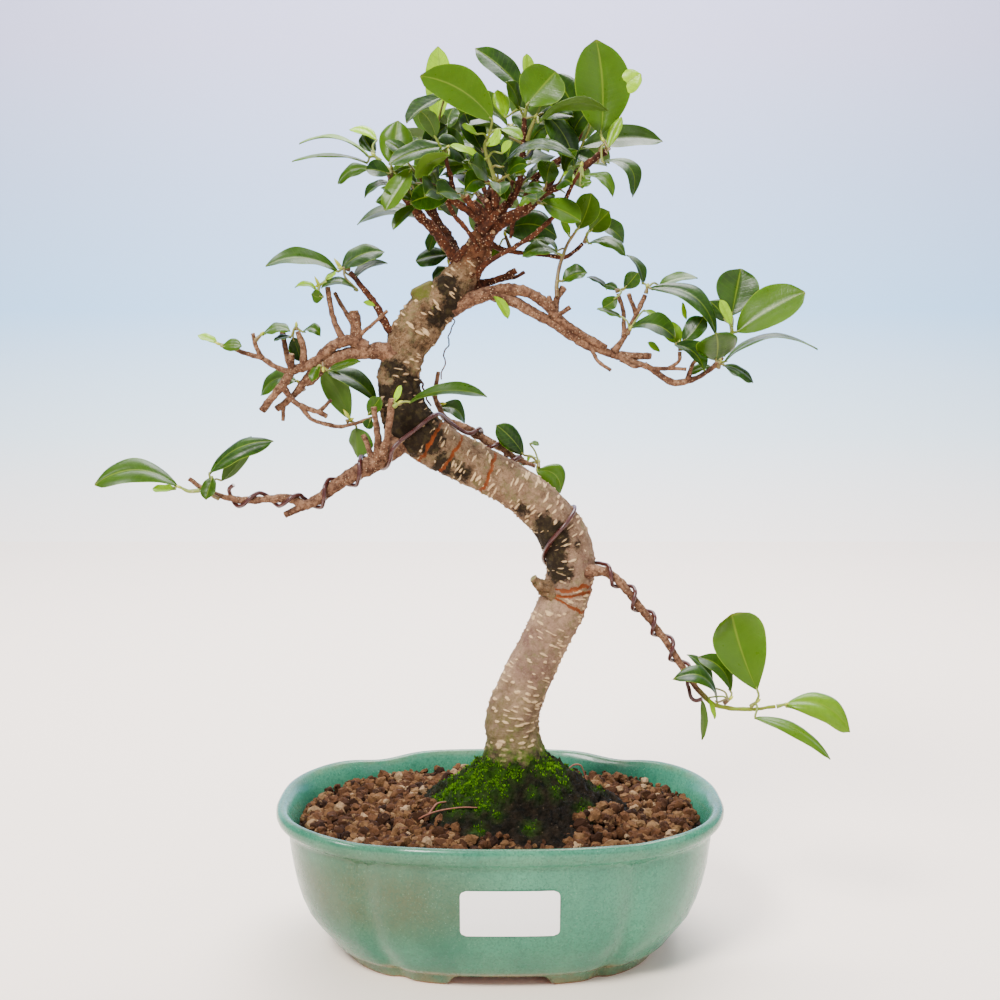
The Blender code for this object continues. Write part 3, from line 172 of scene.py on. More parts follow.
def piece(name, shapes, materials, replaced=(), sharp=50):
    # One mesh object from several shapes, each (points, faces, {attribute: values}, material number)
    points, faces, numbers, columns, first = [], [], [], {}, 0
    for verts, cells, attributes, number in shapes:
        verts = np.asarray(verts, float).reshape(-1, 3)
        for key, values in attributes.items():
            columns.setdefault(key, []).append((first, np.broadcast_to(values, len(verts))))
        faces += [[c + first for c in cell] for cell in cells]
        numbers += [number] * len(cells)
        points.append(verts)
        first += len(verts)
    mesh = bpy.data.meshes.new(name)
    mesh.from_pydata((np.vstack(points) * mm + potMiddle).tolist(), [], faces)
    for key, blocks in columns.items():
        whole = np.zeros(first, np.float32)
        for start, values in blocks:
            whole[start:start + len(values)] = values
        mesh.attributes.new(key, "FLOAT", "POINT").data.foreach_set("value", whole)
    mesh.polygons.foreach_set("material_index", numbers)
    for material in materials:
        mesh.materials.append(material)
    mesh.shade_smooth()
    mesh.set_sharp_from_angle(angle=math.radians(sharp))
    mesh.update()
    obj = bpy.data.objects.new(name, mesh)
    bpy.context.scene.collection.objects.link(obj)
    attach(obj, "root")
    if replaced:
        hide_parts(*replaced)


# Camera: level with the crown, tilted a little down
camera = bpy.data.objects.new("camera", bpy.data.cameras.new("camera"))
camera.data.lens = 48.6
camera.data.sensor_width = 36
camera.location = Vector(potMiddle) + Vector((0.0, -0.729, 0.326))
camera.rotation_euler = (math.radians(90 - 6.2), 0, 0)
bpy.context.scene.collection.objects.link(camera)
bpy.context.scene.camera = camera


# A material whose colour is laid on in coats: base is the colour so far
class Look:
    def __init__(self, name, **sockets):
        self.made = bpy.data.materials.new(name)
        self.made.use_nodes = True
        self.shader = self.made.node_tree.nodes["Principled BSDF"]
        for key, value in sockets.items():
            self.shader.inputs[key.replace("_", " ")].default_value = value

    def set(self, socket, value):
        if isinstance(value, bpy.types.NodeSocket):
            self.made.node_tree.links.new(value, socket)
        elif isinstance(value, tuple) and socket.type == "RGBA":
            socket.default_value = (*value, 1.0)
        else:
            socket.default_value = value

    def add(self, kind, inputs, **settings):
        made = self.made.node_tree.nodes.new("ShaderNode" + kind)
        for key, value in settings.items():
            setattr(made, key, value)
        for key, value in inputs.items():
            self.set(made.inputs[key], value)
        return made.outputs

    def here(self):
        return self.add("TexCoord", {})["Object"]

    def noisy(self, scale, detail=4.0, rough=0.55, distortion=0.0, stretch=None):
        spot = self.here()
        if stretch:
            spot = self.add("Mapping", {"Vector": spot, "Scale": stretch})["Vector"]
        return self.add("TexNoise", {"Vector": spot, "Scale": scale, "Detail": detail, "Roughness": rough,
                                     "Distortion": distortion})["Fac"]

    def cells(self, scale):
        return self.add("TexVoronoi", {"Vector": self.here(), "Scale": scale})["Distance"]

    def ramp(self, value, *stops, smooth="LINEAR"):
        made = self.add("ValToRGB", {"Fac": value})["Color"]
        made.node.color_ramp.interpolation = smooth
        band = made.node.color_ramp.elements
        while len(band) < len(stops):
            band.new(0.5)
        for spot, (position, colour) in zip(band, stops):
            spot.position = position
            spot.color = (*colour, 1.0) if isinstance(colour, tuple) else (colour, colour, colour, 1.0)
        return made

    def patches(self, scale, detail, rough, *stops, **more):
        # noise, sharpened: stops are (noise value, share)
        return self.ramp(self.noisy(scale, detail, rough, **more), *stops)

    def mix(self, share, a, b):
        return self.add("Mix", {0: share, 6: a, 7: b}, data_type="RGBA")[2]

    def coat(self, share, colour):
        self.base = self.mix(share, self.base, colour)

    def maths(self, operation, a, b=0.0):
        return self.add("Math", {0: a, 1: b}, operation=operation)[0]

    def plus(self, a, b):
        return self.maths("ADD", a, b)

    def times(self, a, b):
        return self.maths("MULTIPLY", a, b)

    def painted(self, name):
        return self.add("Attribute", {}, attribute_name=name)["Fac"]

    def bumped(self, height, strength, distance):
        return self.add("Bump", {"Height": height, "Strength": strength, "Distance": distance})["Normal"]

    def finished(self, **links):
        for key, value in {"Base_Color": self.base, **links}.items():
            self.set(self.shader.inputs[key.replace("_", " ")], value)
        return self.made


# Pot: the profile is (height, share of the rim's half size)
pot = {
    "rim": (245.0, 175.0), "squareness": 2.5, "rimDip": 2.2, "around": 288, "archHalf": 29.0, "archHigh": 5.6,
    "creaseAt": 0.60, "creaseDeep": 0.050, "creaseWide": 0.055, "creaseRim": 0.085,
    "outside": ((0.0, 0.690), (1.2, 0.699), (5.2, 0.711), (6.6, 0.722), (7.6, 0.748), (10, 0.768),
                (14, 0.790), (20, 0.832), (26, 0.866), (34, 0.894), (42, 0.914), (52, 0.930), (62, 0.941),
                (69, 0.948), (71.2, 0.951), (72.4, 0.958), (73.2, 0.968), (74.2, 0.981), (75.8, 0.992),
                (78.0, 0.999), (80.2, 0.999), (81.8, 0.991), (82.5, 0.979)),
    "inside": ((82.4, 0.966), (81.3, 0.953), (78.5, 0.938), (74, 0.919), (64, 0.900), (50, 0.877)),
    "glaze": (0.040, 0.200, 0.122), "glazeDeep": (0.015, 0.118, 0.070), "glazeThin": (0.21, 0.135, 0.055),
    "glazeGrey": (0.068, 0.076, 0.032), "clay": (0.27, 0.105, 0.045), "fleckAt": (-0.047, -0.0735, 0.029),
}


def planPoint(turn, share, z, dip=0.0):
    c, s = math.cos(turn), math.sin(turn)
    across = math.copysign(abs(c) ** (2 / pot["squareness"]), c)
    along = math.copysign(abs(s) ** (2 / pot["squareness"]), s)
    spread = pot["creaseWide"] + pot["creaseRim"] * min(max((z - 56) / 16, 0.0), 1.0)
    crease = math.exp(-((abs(across) - pot["creaseAt"]) / spread) ** 2)
    halfWide, halfDeep = pot["rim"][0] / 2, pot["rim"][1] / 2
    y = halfDeep * share * along * (1 - pot["creaseDeep"] * crease)
    return halfWide * share * across, y, z - dip * crease


def glazeMaterial():
    look = Look("jadeGlaze", Roughness=0.24, Coat_Weight=0.12, Coat_Roughness=0.08, Specular_IOR_Level=0.28)
    pool = look.noisy(16, 5, 0.6, distortion=0.6)
    look.base = look.mix(look.ramp(pool, (0.30, 0), (0.72, 1)), pot["glazeDeep"], pot["glaze"])
    streak = look.noisy(1.0, 4, 0.6, stretch=(30, 30, 9))
    look.coat(look.ramp(streak, (0.42, 0), (0.75, 0.55)), (0.085, 0.29, 0.165))
    # the browner, greyer cloud where the kiln's heat thinned the glaze
    cloud = look.add("VectorMath", {0: look.here(), 1: (-0.056, -0.080, 0.052)}, operation="SUBTRACT")[0]
    spread = look.add("Mapping", {"Vector": cloud, "Scale": (11, 5, 27)})["Vector"]
    near = look.add("VectorMath", {0: spread}, operation="LENGTH")["Value"]
    patch = look.times(look.ramp(near, (0.15, 1), (1.0, 0), smooth="EASE"),
                       look.patches(38, 6, 0.7, (0.28, 0.6), (0.56, 1)))
    look.coat(look.times(patch, 0.9), pot["glazeGrey"])
    # fine pale and dark freckles
    look.coat(look.ramp(look.cells(620), (0.06, 0.8), (0.19, 0)), (0.17, 0.34, 0.22))
    look.coat(look.ramp(look.cells(300), (0.04, 0.75), (0.10, 0)), (0.035, 0.09, 0.055))
    look.coat(look.patches(900, 2, 0.5, (0.38, 0.5), (0.52, 0)), (0.012, 0.080, 0.048))
    fleck = look.add("VectorMath", {0: look.here(), 1: pot["fleckAt"]}, operation="DISTANCE")["Value"]
    fleck = look.plus(fleck, look.times(look.noisy(500, 3), 0.0025))
    look.coat(look.ramp(fleck, (0.0026, 0.9), (0.0034, 0)), (0.012, 0.022, 0.012))
    thin = look.times(look.painted("thin"), look.patches(90, 5, 0.7, (0.32, 0.15), (0.6, 1)))
    look.coat(thin, pot["glazeThin"])
    look.coat(look.painted("bare"), look.mix(look.noisy(200, 4), pot["clay"], (0.38, 0.18, 0.09)))
    rough = look.ramp(look.plus(look.noisy(140, 4, 0.6), look.painted("bare")), (0.3, 0.17), (0.7, 0.34),
                      (1.2, 0.9))
    height = look.plus(look.noisy(55, 3, 0.5), look.times(look.noisy(700, 3), 0.25))
    return look.finished(Roughness=rough, Normal=look.bumped(height, 0.25, 0.0006))


def archLift(x, z):
    # how high the foot ring's lower edge sits here: the gap between the left and the right foot
    edge = min(max((pot["archHalf"] - abs(x)) / 7.0, 0.0), 1.0)
    return max(z, pot["archHigh"] * edge * edge * (3 - 2 * edge)) if z < 9 else z


def makePot():
    around = pot["around"]
    profile = [(z, share, 1.0 if z > 70 else 0.0) for z, share in pot["outside"] + pot["inside"]]
    closing = ((26.0, 0.80, 0.0), (15.5, 0.69, 0.0), (15.0, 0.10, 0.0))
    under = ((9.0, 0.05), (9.0, 0.55), (8.6, 0.602), (0.3, 0.625), (0.0, 0.635))
    rings, thin, bare = [], [], []
    for z, share in under:
        ring = [planPoint(2 * math.pi * i / around, share, z) for i in range(around)]
        rings.append([(x, y, archLift(x, h) if h < 5 else h) for x, y, h in ring])
        thin.append(0.0)
        bare.append(1.0)
    for z, share, dip in profile + list(closing):
        ring = [planPoint(2 * math.pi * i / around, share, z, pot["rimDip"] * dip) for i in range(around)]
        rings.append([(x, y, archLift(x, h)) for x, y, h in ring])
        rimEdge = math.exp(-((z - 77.5) / 3.2) ** 2) * (share > 0.985) * 0.08
        ridge = math.exp(-((z - 72.0) / 1.1) ** 2) * 0.05
        foot = math.exp(-((z - 7.0) / 2.2) ** 2) * 0.85 + math.exp(-(z / 2.0) ** 2) * 1.0
        crown = 0.22 * (z > 81) * (share < 0.985)
        thin.append(min(rimEdge + ridge + foot + crown, 1.0))
        bare.append(1.0 if z < 0.5 else 0.0)
    points = np.array(rings).reshape(-1, 3)
    swell = roughness3(points, 32.0, 2, 3.0) * 0.35
    outward = points * (1, 1, 0)
    outward /= np.maximum(np.linalg.norm(outward, axis=1), 1e-9)[:, None]
    points += outward * (swell * (points[:, 2] > 9))[:, None]
    shape = (points, ringFaces(len(rings), around),
             {"thin": np.repeat(thin, around), "bare": np.repeat(bare, around)}, 0)
    piece("glazedPot", [shape], [glazeMaterial()], ("pot",), sharp=70)


# Soil: a heap of fired-clay grains that rises to a damp mossy mound round the trunk
soil = {
    "edge": 71.0, "top": 101.0, "centre": (10.0, 0.0), "reach": 78.0, "moundEdge": 61.0,
    "grains": 2400, "small": 1.1, "large": 4.0, "wall": 0.905, "seed": 7,
}


def moundHeight(x, y):
    away = math.hypot(x - soil["centre"][0], y - soil["centre"][1]) / soil["reach"]
    rise = 0.5 + 0.5 * math.cos(math.pi * min(away, 1.0))
    front = 4.0 * min(max(-y / 70, 0.0), 1.0)
    return soil["edge"] + front + (soil["top"] - soil["edge"] - 4) * rise


def insideShare(x, y):
    # 1 on the rim's outline, less inside it
    halfWide, halfDeep = pot["rim"][0] / 2, pot["rim"][1] / 2
    return ((abs(x) / halfWide) ** pot["squareness"]
            + (abs(y) / halfDeep) ** pot["squareness"]) ** (1 / pot["squareness"])


def moundShare(x, y):
    # 1 on the mound's ragged edge, less inside it
    dx, dy = x - soil["centre"][0], (y - soil["centre"][1]) / (0.84 if y > 0 else 1.04)
    turn = math.atan2(dy, dx)
    edge = soil["moundEdge"] * (1 + 0.10 * math.sin(3 * turn + 0.4) + 0.07 * math.cos(5 * turn)
                                + 0.04 * math.sin(9 * turn))
    return math.hypot(dx, dy) / edge


def soilMaterial():
    look = Look("clayGrains", Roughness=0.92, Specular_IOR_Level=0.12)
    kind = look.painted("grain")
    look.base = look.ramp(kind, (0.0, (0.012, 0.0045, 0.002)), (0.3, (0.046, 0.018, 0.0075)),
                          (0.5, (0.092, 0.038, 0.0155)), (0.7, (0.145, 0.070, 0.028)),
                          (0.88, (0.21, 0.118, 0.052)), (1.0, (0.34, 0.22, 0.12)))
    look.coat(look.patches(420, 5, 0.7, (0.35, 0), (0.7, 0.75)), (0.022, 0.009, 0.004))
    look.coat(look.patches(260, 3, 0.6, (0.60, 0), (0.72, 0.5)), (0.27, 0.16, 0.075))
    height = look.plus(look.noisy(900, 5, 0.7), look.times(look.cells(1300), 0.6))
    return look.finished(Normal=look.bumped(height, 0.8, 0.0005))


def grainShape(centre, size, stretch, seed, verts):
    # a broken, rounded lump: a ball's points, squeezed, dented and turned at random
    luck = random.Random(seed)
    turned = np.array([[luck.gauss(0, 1) for _ in range(3)] for _ in range(3)])
    turned, _ = np.linalg.qr(turned)
    lump = roughness3(verts + seed % 97, 0.9, 2) * 0.34
    facet = np.round(verts * 1.6) / 1.6
    shaped = (verts * 0.6 + facet * 0.4) * (1 + 1.3 * lump[:, None]) * np.array(stretch)
    return (shaped @ turned.T) * size + centre


def makeSoil():
    ball = bmesh.new()
    bmesh.ops.create_icosphere(ball, subdivisions=2, radius=1.0)
    ballPoints = np.array([v.co for v in ball.verts])
    ballFaces = [[v.index for v in f.verts] for f in ball.faces]
    ball.free()
    # a dark bed under the grains closes every gap between them; its near-black colour is painted shade between
    # the grains
    around = 96
    bed, levels = [], ((52.0, 0.868), (66.0, 0.895), (69.0, 0.903))
    for z, share in levels:
        bed.append([planPoint(2 * math.pi * i / around, share, z) for i in range(around)])
    edge = bed[-1]
    for shrink in (0.9, 0.75, 0.6, 0.45, 0.3, 0.15):
        ring = [(soil["centre"][0] + (x - soil["centre"][0]) * shrink, y * shrink) for x, y, _ in edge]
        bed.append([(x, y, moundHeight(x, y) - 2.0) for x, y in ring])
    # grain 0.02 gives the bed the darkest grain colour: painted shade in the gaps
    shapes = [(np.array(bed).reshape(-1, 3), ringFaces(len(bed), around), {"grain": 0.02}, 0)]
    luck = random.Random(soil["seed"])
    placed = 0
    while placed < soil["grains"]:
        x = luck.uniform(-1, 1) * pot["rim"][0] / 2
        y = luck.uniform(-1, 1) * pot["rim"][1] / 2
        size = soil["small"] + (soil["large"] - soil["small"]) * luck.random() ** 1.8
        share, heap = insideShare(x, y), moundShare(x, y)
        if share > soil["wall"] - size / 95 or heap < 0.86:
            continue
        if heap < 1.0 and luck.random() > (heap - 0.8) * 4:
            continue
        placed += 1
        high = moundHeight(x, y) + luck.uniform(-1.6, 1.6) + size * 0.2
        stretch = (luck.uniform(0.8, 1.25), luck.uniform(0.7, 1.0), luck.uniform(0.75, 1.1))
        verts = grainShape(np.array((x, y, high)), size, stretch, placed, ballPoints)
        tone = min(max(luck.gauss(0.47, 0.25), 0.0), 1.0)
        if luck.random() < 0.012:
            tone = 1.0
        shapes.append((verts, ballFaces, {"grain": tone}, 0))
    piece("clayGrainSoil", shapes, [soilMaterial()], ("soil",), sharp=34)


# Mound: dark damp earth with bright moss on its left and top
mound = {
    "tufts": 2700, "leaves": 5, "leafLong": (0.8, 1.9), "seed": 19, "collar": 10.5, "collarReach": 29.0,
    "highest": 112.0,
    # (x, y, reach, strength) of each patch of moss
    "patches": ((-14, -14, 15, 0.95), (-26, -8, 12, 0.8), (-8, -34, 7, 0.7), (-22, -30, 7, 0.6),
                (0, -17, 9, 0.85),
                (-3, -24, 7, 0.7), (27, -12, 5, 0.9), (34, -15, 4, 0.95), (50, -26, 5, 0.95),
                (44, -33, 4, 0.7),
                (-34, -20, 6, 0.5), (16, -52, 4, 0.7), (-12, -50, 4, 0.7), (14, 26, 16, 0.9),
                (-20, 22, 14, 0.8), (40, 20, 10, 0.7), (54, 4, 4, 0.5), (30, -2, 6, 0.9), (8, -19, 6, 0.8),
                (22, -15, 6, 0.75), (2, -30, 5, 0.6), (18, -32, 4, 0.6), (30, -26, 4, 0.6),
                (-2, -42, 4, 0.6)),
}


def mossAmount(x, y):
    best = 0.0
    for px, py, reach, strength in mound["patches"]:
        best = max(best, strength * math.exp(-((x - px) ** 2 + (y - py) ** 2) / reach ** 2))
    return best


def moundMaterial():
    look = Look("dampEarth", Roughness=0.85, Specular_IOR_Level=0.06)
    look.base = look.mix(look.patches(180, 6, 0.7, (0.38, 0), (0.68, 1)), (0.0016, 0.0016, 0.0008),
                         (0.014, 0.009, 0.005))
    green = look.patches(300, 4, 0.6, (0.3, (0.006, 0.020, 0.001)), (0.7, (0.03, 0.09, 0.003)))
    look.coat(look.times(look.painted("moss"), 0.8), green)
    look.coat(look.ramp(look.cells(330), (0.06, 0.6), (0.13, 0)), (0.08, 0.055, 0.03))
    rough = look.patches(260, 4, 0.55, (0.35, 0.55), (0.65, 0.95))
    height = look.plus(look.noisy(420, 6, 0.7), look.cells(500))
    return look.finished(Roughness=rough, Normal=look.bumped(height, 0.9, 0.0009))


def mossMaterial():
    look = Look("mossLeaf", Roughness=0.7, Specular_IOR_Level=0.15, Subsurface_Weight=0.1)
    look.shader.inputs["Subsurface Radius"].default_value = (0.0004, 0.0008, 0.0002)
    look.base = look.ramp(look.painted("fresh"), (0.0, (0.006, 0.024, 0.001)), (0.5, (0.030, 0.105, 0.001)),
                          (1.0, (0.17, 0.38, 0.002)))
    look.coat(look.patches(500, 3, 0.55, (0.4, 0), (0.7, 0.4)), (0.03, 0.075, 0.008))
    return look.finished()


def makeMound():
    around, rows = 220, 76
    points, moss = [], []
    for r in range(rows):
        share = 1.03 - r / (rows - 1) * 0.90
        for i in range(around):
            turn = 2 * math.pi * i / around
            c, s = math.cos(turn), math.sin(turn)
            ragged = moundShare(soil["centre"][0] + soil["moundEdge"] * c, soil["moundEdge"] * s)
            reach = share * soil["moundEdge"] / max(ragged, 0.2)
            x, y = soil["centre"][0] + reach * c, reach * s
            swell = 3.4 * math.sqrt(max(1.03 - share, 0.0)) * (1 - 0.25 * (1 - share))
            collar = mound["collar"] * math.exp(-(math.hypot(x - 9, y - 2) / mound["collarReach"]) ** 2)
            points.append((x, y, moundHeight(x, y) - 1.2 + swell + collar))
            moss.append(mossAmount(x, y))
    points = np.array(points)
    lumps = roughness3(points, 9.0, 4, 5.0) * 3.6 + roughness3(points, 3.2, 4, 8.0) * 2.7
    points[:, 2] += lumps * np.repeat(np.minimum(np.linspace(0.2, 3.0, rows), 1.0), around)
    points[:, 2] = np.minimum(points[:, 2], mound["highest"])
    earth = (points, ringFaces(rows, around, caps=(False, True)), {"moss": moss}, 0)
    tree = BVHTree.FromPolygons(points.tolist(), earth[1])
    luck = random.Random(mound["seed"])
    verts, faces, fresh = [], [], []
    made = 0
    while made < mound["tufts"]:
        turn, away = luck.uniform(0, 2 * math.pi), math.sqrt(luck.random()) * 60
        x, y = soil["centre"][0] + away * math.cos(turn), away * math.sin(turn) * 0.9
        patchy = 0.42 + 1.25 * noise.fractal(Vector((x / 5.0, y / 5.0, 3.0)), 1.0, 2.0, 3)
        if mossAmount(x, y) * (0.55 + patchy) < luck.random() * 0.8 + 0.22:
            continue
        hit, normal, _, _ = tree.ray_cast(Vector((x, y, 140)), Vector((0, 0, -1)))
        if hit is None:
            continue
        made += 1
        tone = min(max(luck.gauss(0.35 + 0.5 * mossAmount(x, y), 0.2), 0), 1)
        for _ in range(mound["leaves"]):
            lean = luck.uniform(0, 2 * math.pi)
            tilt = luck.uniform(0.25, 1.0)
            way = Vector((math.cos(lean) * tilt, math.sin(lean) * tilt, 1.0)).normalized()
            way = (way + normal * 0.6).normalized()
            side = way.cross(Vector((math.sin(lean), -math.cos(lean), 0.3))).normalized()
            long = luck.uniform(*mound["leafLong"])
            root = Vector(hit) - way * 0.3
            first = len(verts)
            wide = side * long * 0.17
            verts += [root - wide * 0.6, root + wide * 0.6, root + way * long * 0.55 + wide,
                      root + way * long, root + way * long * 0.55 - wide]
            faces.append([first, first + 1, first + 2, first + 3, first + 4])
            fresh += [tone * 0.6, tone * 0.6, tone, min(tone + 0.15, 1), tone]
    tufts = (np.array(verts), faces, {"fresh": fresh}, 1)
    piece("mossyMound", [earth, tufts], [moundMaterial(), mossMaterial()], ("moss_mound",), sharp=180)


# Fine roots that lie on the soil: (x, y, height above the soil)
rootlets = (((-46, -28, 1.5), (-38, -31, 4.5), (-30, -30, 3.5), (-20, -33, 3.0), (-12, -36, 2.5)),
            ((-38, -31, 4.5), (-34, -26, 6.0), (-29, -22, 3.0)),
            ((38, 18, 3.0), (42, 20, 8.0), (46, 21, 9.5), (48, 21, 6.0), (50, 20, 1.0)))


def makeRootlets():
    look = Look("rootBark", Roughness=0.7)
    look.base = look.mix(look.noisy(300, 4), (0.12, 0.035, 0.018), (0.24, 0.085, 0.045))
    shapes = []
    for k, route in enumerate(rootlets):
        points = [np.array((x, y, moundHeight(x, y) + lift)) for x, y, lift in route]
        shapes.append(stalkShape(points, [0.55 - 0.06 * i for i in range(len(points))], 0, 70 + k, 0.0, 8,
                                 0.08))
    piece("surfaceRootlets", shapes, [look.finished()], sharp=180)


# Label: blank paper, rounded corners, following the pot's wall
label = {"wide": 50.0, "high": 25.0, "x": 5.0, "z": 47.5, "corner": 3.0, "thick": 0.16}


def frontWall(x, z):
    for (low, a), (high, b) in zip(pot["outside"], pot["outside"][1:]):
        if low <= z <= high:
            share = a + (b - a) * (z - low) / (high - low)
    across = min(abs(x) / (pot["rim"][0] / 2 * share), 1.0)
    along = (1 - across ** pot["squareness"]) ** (1 / pot["squareness"])
    crease = math.exp(-((across - pot["creaseAt"]) / pot["creaseWide"]) ** 2)
    return -pot["rim"][1] / 2 * share * along * (1 - pot["creaseDeep"] * crease)


def makeLabel():
    columns, rows = 49, 25
    halfWide, halfHigh, corner = label["wide"] / 2, label["high"] / 2, label["corner"]
    layers = []
    for lift in (-0.45, -0.45 - label["thick"]):
        for r in range(rows):
            for c in range(columns):
                u, v = (2 * c / (columns - 1) - 1) * halfWide, (2 * r / (rows - 1) - 1) * halfHigh
                over = max(abs(v) - (halfHigh - corner), 0.0)
                limit = halfWide - corner + math.sqrt(max(corner ** 2 - over ** 2, 0.0))
                x, z = label["x"] + u * limit / halfWide, label["z"] + v
                layers.append((x, frontWall(x, z) + lift, z))
    faces = [face[::-1] for face in slabFaces(columns, rows)]
    look = Look("labelPaper", Roughness=0.42, Coat_Weight=0.15, Coat_Roughness=0.3)
    fibre = look.noisy(1400, 4, 0.6)
    look.base = look.mix(look.ramp(fibre, (0.3, 0), (0.7, 0.3)), (0.94, 0.94, 0.94), (0.87, 0.87, 0.88))
    paper = look.finished(Normal=look.bumped(fibre, 0.15, 0.00008))
    piece("blankLabel", [(layers, faces, {}, 0)], [paper], ("label",), sharp=40)


# Wood: each stretch is a list of (x, z, depth, radius)
trunkPath, = paths("""
    9 66 2 17, 9 80 2 20.5, 8.5 95 2 19.5, 8 105 2 17.2, 7.2 114 2 15.3, 7 123 2 14.8, 8.5 132 2 14.3,
    12 141 2 13.6, 15.8 151 3 13.2, 20.5 161 3 13, 26 172 4 12.8, 31 182 4 13, 35 192 5 13.2, 38 203 5 13.2,
    38.5 214 5 13.2, 35 226 5 13.4, 27 238 4 12.8, 15.5 248.5 3 12.2, 3 257 2 11.9, -10 264 1 11.7,
    -23 270.5 0 12.1, -36 277.5 -1 12.9, -46.5 286.5 -2 13.2, -52.5 297 -2 12.1, -54 308 -2 11,
    -53 319 -2 10.7, -49.5 330 -2 11, -43.5 340 -1 11.5, -37 349 0 11.4, -29 357 0 10.4, -22 365 0 8.9,
    -17 373 0 7.7, -12.5 382 0 6.6, -8 391 0 5.9, -5 398 0 5""")
trunkTwigs = paths("""
    -37 349 0 7.5, -41.5 361.5 -2 6.4;
    30 195 0 5.5, 22 200 -6 3.2, 18 203.8 -8 2;
    -17 362 2 3.4, -7 363.5 2 2.1, 1 366 0 1.8, 8.5 370 -1 1.7;
    0 365.5 0 1.3, 8 366.5 3 1, 13 369 4 .9;
    -50 332 -2 3.4, -58 337 -4 2.3, -62 343 -5 2, -66 351 -6 1.9, -71 358 -7 1.6, -76 364 -8 1.5,
    -80 369 -8 1.4;
    -13 368 -2 2.6, -8 373 -9 1.6, 0 378 -12 1.3, 10 383.5 -14 1.3, 20 390 -16 1.2, 29 399 -18 1.2,
    35 407.5 -20 1.2, 38.5 415 -21 1.1, 42 421 -22 1;
    -9 386 2 2.4, -2 382.5 6 1.5, 6 380 8 1.3, 15 379 9 1.2, 25 378 10 1.2, 33 377 10 1.2, 39 379.5 10 1.1,
    44 384 10 1;
    -29 345 -2 1, -26 344 3 .6, -27.5 336 4 .6, -29 326 3 .6, -29.5 313 2 .6;
    -43 312 0 1, -41 306 3 .8, -38 299 8 .8""")
leaderTwigs = paths("""
    -4 396 1 3.2, 4 405 3 2.1, 9 412 2 1.7, 11.5 424 0 1.5, 12.3 436 -2 1.4, 12.8 449 -3 1.3;
    -4 396 -2 3, -2.5 405 -8 2, -2 413 -11 1.8, -2.4 416 -12 1.6;
    -5 397 3 2.4, -6 406 8 1.6, -9 414 12 1.4, -12.5 424 16 1.2;
    -7 391 3 3.4, -4 402 14 2.4, 0 412 24 2, 4 424 33 1.7, 6 436 40 1.4;
    0 412 24 1.7, -12 420 32 1.4, -24 428 40 1.2, -30 436 44 1.1;
    0 412 24 1.7, 14 418 33 1.4, 28 424 40 1.2, 36 432 44 1.1;
    -4 402 14 1.8, -10 408 30 1.4, -12 410 46 1.2""")
